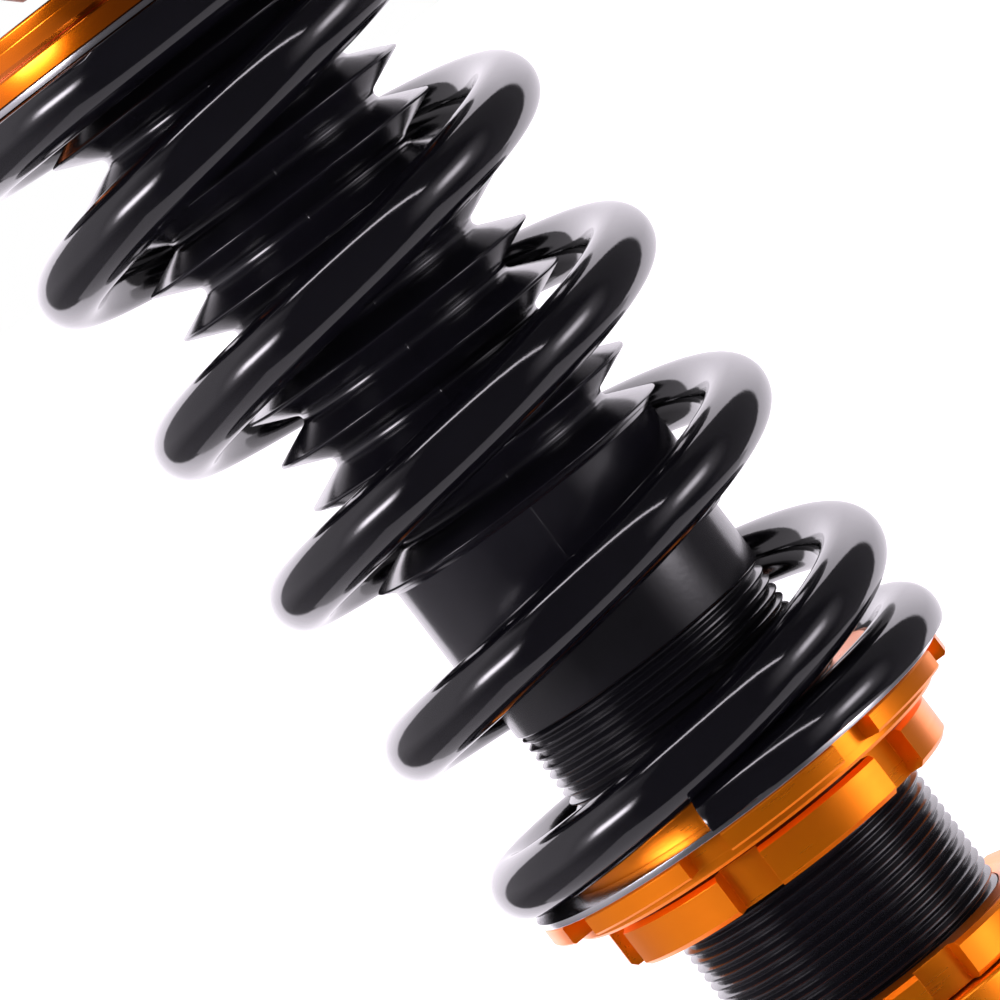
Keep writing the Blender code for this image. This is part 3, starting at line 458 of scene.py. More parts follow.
def make_materials():
    orange = dict(
        colour=(0.95, 0.235, 0.001),
        second=(0.91, 0.215, 0.001),
        roughness=(0.26, 0.34),
        metallic=0.78,
        coat=0.04,
        coat_roughness=0.15,
        grain=1.4,
        grain_depth=0.002,
    )
    seat = dict(
        orange,
        colour=(0.88, 0.19, 0.001),
        second=(0.84, 0.17, 0.001),
        roughness=(0.2, 0.26),
        metallic=1.0,
        coat=0.25,
    )
    return {
        "orange": finish_material("anodised_orange", layout="turned", **orange),
        "orange_cast": finish_material("anodised_orange_cast", layout="plain", **orange),
        "seat": finish_material("anodised_orange_seat", layout="turned", **seat),
        "black": finish_material(
            "anodised_black", (0.016, 0.016, 0.018), (0.024, 0.024, 0.026), (0.3, 0.42), 0.5,
            layout="turned", grain=2.0, grain_depth=0.006,
        ),
        "thread": finish_material(
            "threaded_black", (0.005, 0.0047, 0.0065), (0.007, 0.0066, 0.009), (0.16, 0.24),
            grain=0.9, grain_depth=0.012,
        ),
        "spring": finish_material(
            "powder_coat_black", (0.0022, 0.002, 0.0034), (0.003, 0.0028, 0.0044), (0.07, 0.11),
            patch=0.05, grain=0.35, grain_depth=0.012, fine=1.3, fine_depth=0.003, ior=1.52,
        ),
        "boot": finish_material(
            "rubber_black", (0.0065, 0.006, 0.009), (0.0085, 0.008, 0.0115), (0.15, 0.2),
            patch=0.12, grain=0.5, grain_depth=0.006,
        ),
        "rubber": finish_material(
            "bush_rubber", (0.014, 0.014, 0.014), (0.022, 0.022, 0.022), (0.5, 0.65),
            patch=0.3, grain=2.0, grain_depth=0.02,
        ),
        "washer": finish_material(
            "polished_steel", (0.62, 0.62, 0.63), (0.54, 0.54, 0.56), (0.16, 0.26), 1.0,
            layout="turned", grain=3.0, grain_depth=0.003,
        ),
        "chrome": finish_material(
            "hard_chrome", (0.78, 0.78, 0.79), (0.74, 0.74, 0.76), (0.05, 0.1), 1.0,
            layout="turned", grain=5.0, grain_depth=0.001,
        ),
        "zinc": finish_material(
            "zinc_plated_steel", (0.62, 0.62, 0.60), (0.52, 0.53, 0.55), (0.26, 0.4), 1.0,
            patch=0.25, grain=1.5, grain_depth=0.006,
        ),
        "zinc_turned": finish_material(
            "zinc_plated_turned", (0.62, 0.62, 0.60), (0.52, 0.53, 0.55), (0.22, 0.36), 1.0,
            layout="turned", patch=0.25, grain=2.4, grain_depth=0.006,
        ),
        "zinc_bush": finish_material(
            "zinc_plated_bush", (0.62, 0.62, 0.60), (0.52, 0.53, 0.55), (0.22, 0.36), 1.0,
            layout="turned_about_y", patch=0.25, grain=2.4, grain_depth=0.006,
        ),
        "aluminium": finish_material(
            "machined_aluminium", (0.76, 0.76, 0.77), (0.68, 0.68, 0.70), (0.28, 0.4), 1.0,
            layout="turned", grain=2.5, grain_depth=0.006,
        ),
        "seal": finish_material(
            "seal_rubber", (0.016, 0.016, 0.016), (0.024, 0.024, 0.024), (0.45, 0.6),
            grain=2.0, grain_depth=0.01,
        ),
        "bearing_plastic": finish_material(
            "bearing_plastic", (0.10, 0.16, 0.13), (0.08, 0.13, 0.11), (0.4, 0.55),
            grain=1.6, grain_depth=0.01,
        ),
        "urethane": finish_material(
            "bump_stop_urethane", (0.58, 0.40, 0.12), (0.50, 0.33, 0.09), (0.5, 0.65),
            patch=0.2, grain=1.2, grain_depth=0.05,
        ),
    }


# ---------------------------------------------------------------- mesh helpers


def polar(radius, angle_deg, height=0.0):
    """A point at an angle from the front (-Y) towards +X, in millimetres."""
    angle = math.radians(angle_deg)
    return Vector((radius * math.sin(angle), -radius * math.cos(angle), height))


NEARLY_STRAIGHT = 170.0  # degrees: a corner flatter than this stays as it is
MOST_OF_SIDE = 0.45  # the share of a side that rounding may use


def rounded(outline, size, segments=4, closed=True):
    """The outline with an arc of about this radius in place of each corner."""
    points = [Vector(p) for p in outline]
    made = []
    count = len(points)
    for i, corner in enumerate(points):
        if not closed and i in (0, count - 1):
            made.append(corner)
            continue
        before, after = points[i - 1] - corner, points[(i + 1) % count] - corner
        turn = before.angle(after)
        if turn > math.radians(NEARLY_STRAIGHT):
            made.append(corner)
            continue
        longest = MOST_OF_SIDE * min(before.length, after.length)
        cut = min(size / math.tan(turn / 2), longest)
        arc_radius = cut * math.tan(turn / 2)
        towards = (before.normalized() + after.normalized()).normalized()
        middle = corner + towards * (arc_radius / math.sin(turn / 2))
        first, last = (corner + side.normalized() * cut for side in (before, after))
        for k in range(segments + 1):
            chord = first.lerp(last, k / segments) - middle
            made.append(middle + chord.normalized() * arc_radius)
    return [tuple(p) for p in made]


def finish_piece(name, work, material, body, replaced=(), sharp_deg=32.0):
    """Makes a piece that rides on a body of the bmesh, which is in millimetres."""
    bmesh.ops.remove_doubles(work, verts=work.verts, dist=1e-5)
    bmesh.ops.recalc_face_normals(work, faces=work.faces)
    bmesh.ops.scale(work, vec=(MM, MM, MM), verts=work.verts)
    bmesh.ops.translate(work, vec=(0.0, 0.0, at(0.0)), verts=work.verts)
    mesh = bpy.data.meshes.new(name)
    work.to_mesh(mesh)
    work.free()
    mesh.shade_smooth()
    mesh.set_sharp_from_angle(angle=math.radians(sharp_deg))
    piece = bpy.data.objects.new(name, mesh)
    bpy.context.scene.collection.objects.link(piece)
    mesh.materials.append(materials[material])
    if body:
        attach(piece, body)
    if replaced:
        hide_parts(*replaced)
    return piece


def sweep_rows(work, rows, wrap_rows, wrap_points):
    """Joins rows of vertices into a sheet of quads."""
    verts = [[work.verts.new(p) for p in row] for row in rows]
    row_count, point_count = len(verts), len(verts[0])
    for i in range(row_count if wrap_rows else row_count - 1):
        for j in range(point_count if wrap_points else point_count - 1):
            a, b = verts[i], verts[(i + 1) % row_count]
            k = (j + 1) % point_count
            corners = [a[j], a[k], b[k], b[j]]
            if len(set(corners)) == 4:
                work.faces.new(corners)
    return verts


def add_lathe(work, outline, steps=96, matrix=None):
    """Adds a turned solid from (radius, z) points.

    An outline that starts off the axis is closed round; one that starts on it must end on it.
    """
    closed = outline[0][0] > 0.0
    rows = []
    for i in range(steps):
        angle = math.tau * i / steps
        rows.append([(r * math.cos(angle), r * math.sin(angle), z) for r, z in outline])
    if matrix is not None:
        rows = [[tuple(matrix @ Vector(p)) for p in row] for row in rows]
    sweep_rows(work, rows, True, closed)


def lathe(name, outline, material, body, replaced=(), steps=96, fillet=0.3, matrix=None):
    work = bmesh.new()
    closed = outline[0][0] > 0.0
    shape = rounded(outline, fillet, closed=closed) if fillet else outline
    add_lathe(work, shape, steps, matrix)
    return finish_piece(name, work, material, body, replaced)


ON_PLANE = 1e-3  # millimetres: an open edge this near an end plane belongs to its rim

# One pitch of a rounded trapezoid thread, as (share of depth cut away, share of pitch)
THREAD_PROFILE = (
    (1.0, 0.04), (0.9, 0.1), (0.12, 0.38), (0.0, 0.45),
    (0.0, 0.59), (0.12, 0.66), (0.9, 0.94), (1.0, 1.0),
)


def add_thread(
    work, radius, pitch, depth, bottom, top, steps=96, bore=0.0, centre=(0.0, 0.0)
):
    """Adds a threaded bar, or a tube if it has a bore: a helical surface cut at two planes."""
    turns = math.ceil((top - bottom) / pitch) + 2
    per_step = []
    for s in range(turns * steps + 1):
        angle = math.tau * s / steps
        base = bottom - pitch + pitch * s / steps
        row = []
        for cut, share in THREAD_PROFILE:
            r = radius - depth * cut
            place = (r * math.cos(angle), r * math.sin(angle), base + pitch * share)
            row.append(work.verts.new(place))
        per_step.append(row)
    count = len(THREAD_PROFILE)
    for s in range(turns * steps):
        for j in range(count):
            if j + 1 < count:
                nxt, nxt_after = per_step[s][j + 1], per_step[s + 1][j + 1]
            elif s + 1 + steps < len(per_step):
                nxt, nxt_after = per_step[s + steps][0], per_step[s + 1 + steps][0]
            else:
                continue
            work.faces.new((per_step[s][j], per_step[s + 1][j], nxt_after, nxt))
    for plane, outward in ((bottom, -1.0), (top, 1.0)):
        geometry = list(work.verts) + list(work.edges) + list(work.faces)
        bmesh.ops.bisect_plane(
            work,
            geom=geometry,
            dist=1e-6,
            plane_co=(0, 0, plane),
            plane_no=(0, 0, outward),
            clear_outer=True,
        )
    open_edges = [e for e in work.edges if len(e.link_faces) == 1]
    rims = {}
    for plane in (bottom, top):
        rims[plane] = [
            e for e in open_edges if all(abs(v.co.z - plane) < ON_PLANE for v in e.verts)
        ]
    if bore:
        add_bore_wall(work, rims, bore, bottom, top, steps)
    else:
        for plane in (bottom, top):
            fill(work, rims[plane])
    bmesh.ops.translate(work, vec=(centre[0], centre[1], 0.0), verts=work.verts)


def fill(work, edges):
    bmesh.ops.triangle_fill(work, use_beauty=True, use_dissolve=False, edges=edges)


def add_bore_wall(work, rims, bore, bottom, top, steps):
    circles = []
    for plane in (bottom, top):
        ring = []
        for i in range(steps):
            angle = math.tau * i / steps
            ring.append(work.verts.new((bore * math.cos(angle), bore * math.sin(angle), plane)))
        circles.append(ring)
        edges = [work.edges.new((ring[i], ring[(i + 1) % steps])) for i in range(steps)]
        fill(work, rims[plane] + edges)
    for i in range(steps):
        k = (i + 1) % steps
        work.faces.new((circles[0][i], circles[0][k], circles[1][k], circles[1][i]))


# ---------------------------------------------------------------- spring, seats and washers

# Angles of the spring are in turns from the front, its slopes in millimetres a turn.
WIRE_RADIUS = 6.0
COIL_RADIUS = 41.9
SPRING_START = -13.0 / 360.0
SPRING_TURNS = 6.395
LEAD_IN = 0.53  # where the end coil's slope starts to grow
RAMP = 0.556  # how long it grows
END_SLOPE = 4.32
PITCH = 34.06
TIP_CUT = 2.0 / 360.0
# (distance from the wire's end, radius taken off)
TIP_BEVEL = ((0.0, 0.5), (0.15, 0.16), (0.5, 0.0))
FIRST_RISE = 2.15  # height of the wire's centre where the end coil starts
TIP_DROP, TIP_TURNS, TIP_LENGTH = 1.4, 0.167, 0.203  # the tip bends down towards its end
SPRING_SIDES, SPRING_STEPS = 40, 108  # points round the wire, rows in one turn


def wire_rise(turns):
    """Height of the wire's centre above the ground end, for the lower half of the spring."""
    tip = max(0.0, (TIP_TURNS - turns) / TIP_LENGTH)
    ramp = min(max(turns - LEAD_IN, 0.0), RAMP)
    after = max(turns - LEAD_IN - RAMP, 0.0)
    climb = (PITCH - END_SLOPE) * (ramp**2 / (2 * RAMP) + after)
    return FIRST_RISE + END_SLOPE * turns - TIP_DROP * tip**2 + climb


def make_spring():
    bottom, top = low("coil_spring"), high("coil_spring")
    end = SPRING_START + SPRING_TURNS
    middle = (SPRING_START + end) / 2
    stretch = (top - bottom) / (2 * wire_rise(middle))

    def centre_height(turns):
        if turns <= middle:
            return bottom + wire_rise(turns) * stretch
        return top - wire_rise(SPRING_START + end - turns) * stretch

    def centre(turns):
        return polar(COIL_RADIUS, turns * 360.0, centre_height(turns))

    count = round(SPRING_TURNS * SPRING_STEPS)
    first, last = SPRING_START + TIP_CUT, end
    per_mm = 1.0 / (math.tau * COIL_RADIUS)
    places = [(first + away * per_mm, cut) for away, cut in TIP_BEVEL]
    places += [(first + (last - first) * i / count, 0.0) for i in range(1, count)]
    places += [(last - away * per_mm, cut) for away, cut in reversed(TIP_BEVEL)]
    rows = []
    for turns, cut in places:
        here = centre(turns)
        tangent = (centre(turns + 1e-4) - centre(turns - 1e-4)).normalized()
        outward = polar(1.0, turns * 360.0)
        upward = outward.cross(tangent).normalized()
        outward = tangent.cross(upward)
        row = []
        for k in range(SPRING_SIDES):
            angle = math.tau * k / SPRING_SIDES
            away = outward * math.cos(angle) + upward * math.sin(angle)
            p = here + away * (WIRE_RADIUS - cut)
            row.append((p.x, p.y, min(max(p.z, bottom), top)))
        rows.append(row)
    work = bmesh.new()
    verts = sweep_rows(work, rows, False, True)
    for row in (verts[0], verts[-1]):
        work.faces.new(row)
    piece = finish_piece(
        "coil_spring_fine", work, "spring", "rod_assembly", ["coil_spring"], sharp_deg=40.0
    )
    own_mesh(piece)


def make_upper_seat():
    name = "upper_spring_seat"
    flange, top, bottom = radius_of(name), high(name), low(name)
    crown, face, lip, boss, hollow = 41.8, 173.95, 177.7, 35.2, 31.65
    hole, web = 6.3, 176.9
    outline = [
        (hole, top),
        (13.0, top),
        (13.6, top - 0.5),
        (crown, top - 0.5),
        (crown - 0.2, lip + 3.6),
        (crown + 0.35, lip + 2.2),
        (crown + 0.95, lip + 1.0),
        (crown + 1.7, lip + 0.25),
        (flange - 0.6, lip),
        (flange - 0.16, lip - 0.4),
        (flange, face + 0.12),
        (flange - 0.12, face),
        (boss, face),
        (boss, bottom),
        (hollow, bottom),
        (hollow, web),
        (hole, web),
    ]
    lathe("upper_seat_fine", outline, "seat", "rod_assembly", [name], steps=160, fillet=0.5)


WASHER_GAP = 0.22  # the design's clearance that each washer's face takes up


def make_washers():
    for side, body in (("upper", "rod_assembly"), ("lower", "perch_carrier")):
        name = f"{side}_spring_washer"
        bottom, top, outer = low(name) - WASHER_GAP, high(name) + WASHER_GAP, radius_of(name)
        outline = [(35.5, top), (outer, top), (outer, bottom), (35.5, bottom)]
        lathe(f"{side}_washer_fine", outline, "washer", body, [name], steps=160, fillet=0.1)


# ---------------------------------------------------------------- rings on the thread


NOTCH_WALL = 0.35  # degrees that a notch's side wall leans over
NOTCH_STEPS, GAP_STEPS = 6, 12
RING_BORE = 26.75


def notched_ring(
    name, body, replaced, rows_at, notch_count, notch_width, outer, phase_deg, bevel=0.3
):
    """A ring with spanner notches.

    rows_at(in_notch) gives the closed (radius, z) outline at one angle.
    """
    half = math.degrees(math.asin(notch_width / 2 / outer))
    step = 360.0 / notch_count
    wall = NOTCH_WALL
    angles = []
    for i in range(notch_count):
        middle = phase_deg + i * step
        angles.append((middle - half - wall, False))
        for k in range(NOTCH_STEPS + 1):
            angles.append((middle - half + half * 2 * k / NOTCH_STEPS, True))
        angles.append((middle + half + wall, False))
        gap_start, gap = middle + half + wall, step - 2 * (half + wall)
        for k in range(1, GAP_STEPS):
            angles.append((gap_start + gap * k / GAP_STEPS, False))
    rows = []
    for angle, in_notch in angles:
        rows.append([tuple(polar(r, angle, z)) for r, z in rows_at(in_notch)])
    work = bmesh.new()
    sweep_rows(work, rows, True, True)
    bevelled(finish_piece(name, work, "orange", body, replaced, sharp_deg=30.0), bevel)


def make_perch():
    name = "spring_perch"
    outer, boss_top, bottom = radius_of(name), high(name), low(name)
    tooth, hub, boss, bore = -3.95, 39.6, 35.2, RING_BORE

    def rows_at(in_notch):
        rim, slope = (hub + 0.02, 0.02) if in_notch else (outer, 0.45)
        return [
            (bore, boss_top),
            (boss - 1.0, boss_top),
            (boss, boss_top - 1.0),
            (boss, 0.0),
            (rim - slope, 0.0),
            (rim, -slope),
            (rim, tooth + slope),
            (rim - slope, tooth),
            (hub, tooth),
            (hub, bottom + 0.6),
            (hub - 0.6, bottom),
            (bore, bottom),
        ]

    notched_ring(
        "spring_perch_fine", "perch_collar", [name], rows_at, 8, 8.6, outer, -16.7, bevel=0.25
    )


def make_lock_ring(name, body, phase_deg):
    outer, top, bottom = radius_of(name), high(name), low(name)
    bore, floor = RING_BORE, outer - 3.5

    def rows_at(in_notch):
        rim, slope = (floor, 0.05) if in_notch else (outer, 0.9)
        return [
            (bore, top - 0.5),
            (bore + 0.9, top),
            (rim - slope, top),
            (rim, top - slope),
            (rim, bottom + slope),
            (rim - slope, bottom),
            (bore + 0.9, bottom),
            (bore, bottom + 0.5),
        ]

    notched_ring(name + "_fine", body, [name], rows_at, 6, 9.0, outer, phase_deg)


# ---------------------------------------------------------------- damper


def make_damper_body():
    bottom, top = low("shock_body"), high("shock_body")
    bore, head, thread, thread_top = 23.0, 26.9, 26.5, 29.6
    work = bmesh.new()
    add_thread(work, thread, 2.0, 1.15, bottom + 0.5, thread_top, steps=96, bore=bore)
    head_outline = [(bore, top), (head, top), (head, thread_top), (bore, thread_top)]
    add_lathe(work, rounded(head_outline, 0.5), 120)
    finish_piece("damper_tube_fine", work, "thread", "damper_body", ["shock_body"])


SEAM_HEIGHT = 0.07
SEAM_HALF_WIDTH = 0.22  # degrees
ROOT_RADIUS = 1.25
BOOT_WALL = 1.0


def boot_outline():
    """Sharp ridges and round roots, from the collar in the seat down to the skirt on the damper."""
    ridge, root, first, pitch, count = 31.05, 22.6, 65.2, 9.51, 11
    skirt, skirt_bottom, skirt_top, top = 28.24, 42.2, 64.2, high("dust_boot")
    points = [(ridge, top)]
    last = first + (count - 1) * pitch
    points.append((ridge, last + pitch - 0.6))
    for i in range(count):
        middle = last - i * pitch
        half = pitch / 2
        points += [(ridge - 0.3, middle + pitch - 0.34), (ridge - 1.0, middle + pitch - 0.66)]
        for k in range(9):
            turn = math.radians(68.0 - 17.0 * k)
            across = ROOT_RADIUS * (1.0 - math.cos(turn))
            points.append((root + across, middle + half + ROOT_RADIUS * math.sin(turn)))
        points += [(ridge - 1.0, middle + 0.66), (ridge - 0.3, middle + 0.34)]
        points.append((ridge - 0.05, middle))
    points += [(skirt + 0.7, skirt_top), (skirt, skirt_top - 0.7), (skirt, skirt_bottom)]
    return points


def make_boot():
    outer = rounded(boot_outline(), 0.25, segments=2, closed=False)
    inner = [(r - BOOT_WALL, z) for r, z in reversed(outer)]
    angles = [(i * 2.5, 0.0) for i in range(144) if i % 72]
    for side in (0.0, 180.0):  # the mould's parting line, front and back
        angles.append((side, SEAM_HEIGHT))
        angles += [(side - SEAM_HALF_WIDTH, 0.0), (side + SEAM_HALF_WIDTH, 0.0)]
    rows = []
    for angle, rise in sorted(angles):
        row = [polar(r + rise, angle, z) for r, z in outer]
        rows.append(row + [polar(r, angle, z) for r, z in inner])
    work = bmesh.new()
    sweep_rows(work, rows, True, True)
    piece = finish_piece("dust_boot_fine", work, "boot", None, ["dust_boot"], sharp_deg=60.0)
    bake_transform(piece, "rod_assembly", "damper_body", start=(0, 0, at(168.0)), end=(0, 0, at(68.0)))


# ---------------------------------------------------------------- top mount

def centre_of(name):
    lowest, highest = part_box(name)
    return (lowest.x + highest.x) / 2 / MM, (lowest.y + highest.y) / 2 / MM


def angle_of(name):
    """A node's angle round the axis from the front, to the nearest degree."""
    x, y = centre_of(name)
    return round(math.degrees(math.atan2(x, -y)))


PLATE_TOP, PLATE_BOTTOM = high("top_mount_plate"), low("top_mount_plate")
PIVOT = 196.0  # height of the ball's centre
STUDS = [f"tower_stud_{i}" for i in (1, 2, 3)]
SCREWS = [f"housing_screw_{i}" for i in (1, 2, 3, 4)]
STUD_CIRCLE, SCREW_CIRCLE = 42.0, 26.5
STUD_HOLE, SCREW_HOLE = 4.3, 2.8


def circle(centre, radius, steps):
    turns = [math.tau * i / steps for i in range(steps)]
    x, y = centre
    return [(x + radius * math.sin(turn), y - radius * math.cos(turn)) for turn in turns]


def hull_of(points):
    """The convex outline round the points, anticlockwise."""
    points = sorted(set(points))
    halves = []
    for ordered in (points, points[::-1]):
        chain = []
        for p in ordered:
            while len(chain) > 1:
                (ax, ay), (bx, by) = chain[-2], chain[-1]
                if (bx - ax) * (p[1] - ay) - (by - ay) * (p[0] - ax) > 1e-9:
                    break
                chain.pop()
            chain.append(p)
        halves += chain[:-1]
    return halves


def bevelled(piece, width):
    soften = piece.modifiers.new("edges", "BEVEL")
    soften.width = width * MM
    soften.segments = 3
    soften.limit_method = "ANGLE"
    soften.angle_limit = math.radians(40.0)
    soften.use_clamp_overlap = True


def make_top_plate():
    middle, centre_hole, ear = 37.0, 21.3, 14.0
    outline = circle((0.0, 0.0), middle, 120)
    for name in STUDS:
        outline += circle(polar(STUD_CIRCLE, angle_of(name)).xy, ear, 72)
    loops = [hull_of(outline), circle((0.0, 0.0), centre_hole, 96)]
    for ring, names, hole in ((STUD_CIRCLE, STUDS, STUD_HOLE), (SCREW_CIRCLE, SCREWS, SCREW_HOLE)):
        for name in names:
            loops.append(circle(polar(ring, angle_of(name)).xy, hole, 36))
    work = bmesh.new()
    sides = {}
    for height in (PLATE_BOTTOM, PLATE_TOP):
        rings = [[work.verts.new((x, y, height)) for x, y in loop] for loop in loops]
        edges = [
            work.edges.new((ring[i - 1], ring[i])) for ring in rings for i in range(len(ring))
        ]
        fill(work, edges)
        sides[height] = rings
    for lower, upper in zip(sides[PLATE_BOTTOM], sides[PLATE_TOP]):
        for i in range(len(lower)):
            work.faces.new((lower[i - 1], lower[i], upper[i], upper[i - 1]))
    piece = finish_piece("top_plate_fine", work, "black", "top_mount", ["top_mount_plate"])
    bevelled(piece, 0.5)


def make_bearing_housing():
    top, bottom = high("bearing_housing"), low("bearing_housing")
    flange_bottom, flange_top, bore, nose = PLATE_TOP + 0.3, PLATE_TOP + 4.3, 16.3, 21.0
    groove, race_half, ball_half = PIVOT + 7.0, 7.3, 8.5
    race_radius, ball_radius, race_outer, ball_bore = 11.8, 11.5, 16.0, 6.3
    outline = [
        (bore, top),
        (nose - 1.2, top),
        (nose, flange_top),
        (31.2, flange_top),
        (32.0, flange_top - 0.8),
        (32.0, flange_bottom),
        (nose, flange_bottom),
        (nose, bottom + 4.2),
        (17.2, bottom + 0.6),
        (13.5, bottom + 0.6),
        (13.5, PIVOT - race_half),
        (bore, PIVOT - race_half),
        (bore, groove),
        (bore + 1.2, groove),
        (bore + 1.2, groove + 1.9),
        (bore, groove + 1.9),
    ]
    lathe(
        "bearing_housing_fine", outline, "black", "top_mount", ["bearing_housing"], 144, 0.35
    )
    half = race_half - 0.3
    race = [(race_outer, PIVOT + half), (race_outer, PIVOT - half)]
    race += pivot_arc(race_radius, half, 16)
    lathe("bearing_race_fine", race, "zinc_turned", "top_mount", ["bearing_race"], 120, 0.2)
    ball = pivot_arc(ball_radius, ball_half, 24)
    ball += [(ball_bore, PIVOT + ball_half), (ball_bore, PIVOT - ball_half)]
    lathe("bearing_ball_fine", ball, "chrome", "pivot_ball", ["bearing_ball"], 120, 0.25)


def pivot_arc(radius, half_height, count):
    """A round profile about the pivot's centre, from half_height below it to half_height above."""
    limit = math.asin(half_height / radius)
    angles = [-limit + 2 * limit * i / (count - 1) for i in range(count)]
    return [(radius * math.cos(a), PIVOT + radius * math.sin(a)) for a in angles]


def make_circlip(name, body):
    """A snap ring with a gap at the front."""
    outer, bottom, top = radius_of(name), low(name), high(name)
    inner, half_gap, steps = outer - 3.5, 3.5, 96
    corners = [(outer, bottom), (outer, top), (inner, top), (inner, bottom)]
    shape = rounded(corners, 0.15, segments=2)
    gap = math.degrees(math.asin(half_gap / outer))
    rows = []
    for i in range(steps + 1):
        angle = gap + (360.0 - 2 * gap) * i / steps
        rows.append([polar(r, angle, z) for r, z in shape])
    work = bmesh.new()
    verts = sweep_rows(work, rows, False, True)
    for row in (verts[0], verts[-1]):
        work.faces.new(row)
    finish_piece(name + "_fine", work, "zinc", body, [name])


def make_stud(name):
    x, y = centre_of(name)
    bottom, top = low(name), high(name)
    head, head_radius, shank_radius, shank_top = bottom + 2.5, 7.5, 3.95, PLATE_TOP + 1.4
    work = bmesh.new()
    shank = [
        (0.0, bottom), (head_radius, bottom), (head_radius, head), (shank_radius, head),
        (shank_radius, shank_top), (0.0, shank_top),
    ]
    shift = Matrix.Translation((x, y, 0.0))
    add_lathe(work, rounded(shank, 0.4, closed=False), 72, shift)
    tip = [(0.0, top - 1.1), (3.3, top - 1.1), (2.7, top), (0.0, top)]
    add_lathe(work, rounded(tip, 0.2, closed=False), 48, shift)
    bar = bmesh.new()
    add_thread(bar, 4.0, 1.25, 0.7, PLATE_TOP + 1.2, top - 1.0, steps=40, centre=(x, y))
    join(work, bar)
    finish_piece(name + "_fine", work, "zinc", "top_mount", [name])


def join(work, other):
    """Adds the other bmesh to work."""
    copies = [work.verts.new(v.co) for v in other.verts]
    other.verts.index_update()
    for face in other.faces:
        work.faces.new([copies[v.index] for v in face.verts])
    other.free()


def hex_radius(angle, across_flats):
    """A hexagon's radius at an angle."""
    sector = math.radians(60.0)
    return across_flats / 2 / math.cos((angle % sector) - sector / 2)


def make_socket_screw(name):
    x, y = centre_of(name)
    bottom, top = low(name), high(name)
    head, socket_floor, steps, ribs = top - 5.0, top - 2.6, 96, 32
    rows = []
    for i in range(steps):
        angle = math.tau * i / steps
        rib = 4.25 if (i * ribs * 3 // steps) % 3 else 4.1
        inside = hex_radius(angle, 4.0)
        outline = [
            (0.0, socket_floor), (inside, socket_floor), (inside, top - 0.25),
            (inside + 0.25, top), (3.6, top), (3.95, top - 0.15), (4.1, top - 0.6),
            (rib, top - 0.9), (rib, head + 0.5), (4.1, head + 0.2), (3.95, head),
            (2.5, head), (2.5, bottom), (0.0, bottom),
        ]
        rows.append([(x + r * math.cos(angle), y + r * math.sin(angle), z) for r, z in outline])
    work = bmesh.new()
    sweep_rows(work, rows, True, False)
    finish_piece(name + "_fine", work, "zinc", "top_mount", [name])


# ---------------------------------------------------------------- rod and its fittings


def make_hex_nut(name, body, across_flats, bore):
    """A hexagon whose corners are turned off at both ends."""
    bottom, top = low(name), high(name)
    flat = across_flats / 2
    slope = math.tan(math.radians(28.0))
    steps, rows = 144, []
    for i in range(steps):
        angle = math.tau * i / steps
        outer = hex_radius(angle, across_flats)
        cut = max(outer - (flat - 0.25), 0.0) * slope
        outline = [
            (bore, top - 0.6), (bore + 0.6, top), (flat - 0.25, top), (outer, top - cut),
            (outer, bottom + cut), (flat - 0.25, bottom), (bore + 0.6, bottom),
            (bore, bottom + 0.6),
        ]
        rows.append([(r * math.cos(angle), r * math.sin(angle), z) for r, z in outline])
    work = bmesh.new()
    sweep_rows(work, rows, True, True)
    finish_piece(name + "_fine", work, "zinc", body, [name], sharp_deg=25.0)


def make_rod():
    top, bottom = high("piston_rod"), low("piston_rod")
    shoulder, piston_shoulder, stud, bore, rod = 174.2, 26.0, 6.0, 2.2, 10.0
    thread_bottom = PIVOT + 10.0
    work = bmesh.new()
    outline = [
        (bore, thread_bottom + 0.4), (stud - 0.05, thread_bottom + 0.4),
        (stud - 0.05, shoulder), (rod, shoulder), (rod, piston_shoulder),
        (stud - 0.05, piston_shoulder), (stud - 0.05, bottom), (bore, bottom),
    ]
    add_lathe(work, rounded(outline, 0.5), 96)
    bar = bmesh.new()
    add_thread(bar, stud, 1.5, 0.85, thread_bottom, top - 0.8, steps=56, bore=bore)
    join(work, bar)
    tip = [(bore, top - 0.9), (stud - 0.8, top - 0.9), (stud - 1.3, top), (bore, top)]
    add_lathe(work, rounded(tip, 0.2), 72)
    finish_piece("piston_rod_fine", work, "chrome", "rod_assembly", ["piston_rod"])
    for name in ("lower_spacer", "upper_spacer", "shoulder_washer"):
        outer, low_z, high_z, hole = radius_of(name), low(name), high(name), 6.3
        outline = [(hole, high_z), (outer, high_z), (outer, low_z), (hole, low_z)]
        lathe(name + "_fine", outline, "zinc_turned", body_of(name), [name], fillet=0.35)
    make_hex_nut("rod_nut", body_of("rod_nut"), 19.0, 6.15)


def body_of(node_name):
    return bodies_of(frame["nodes"][node_name])[0]


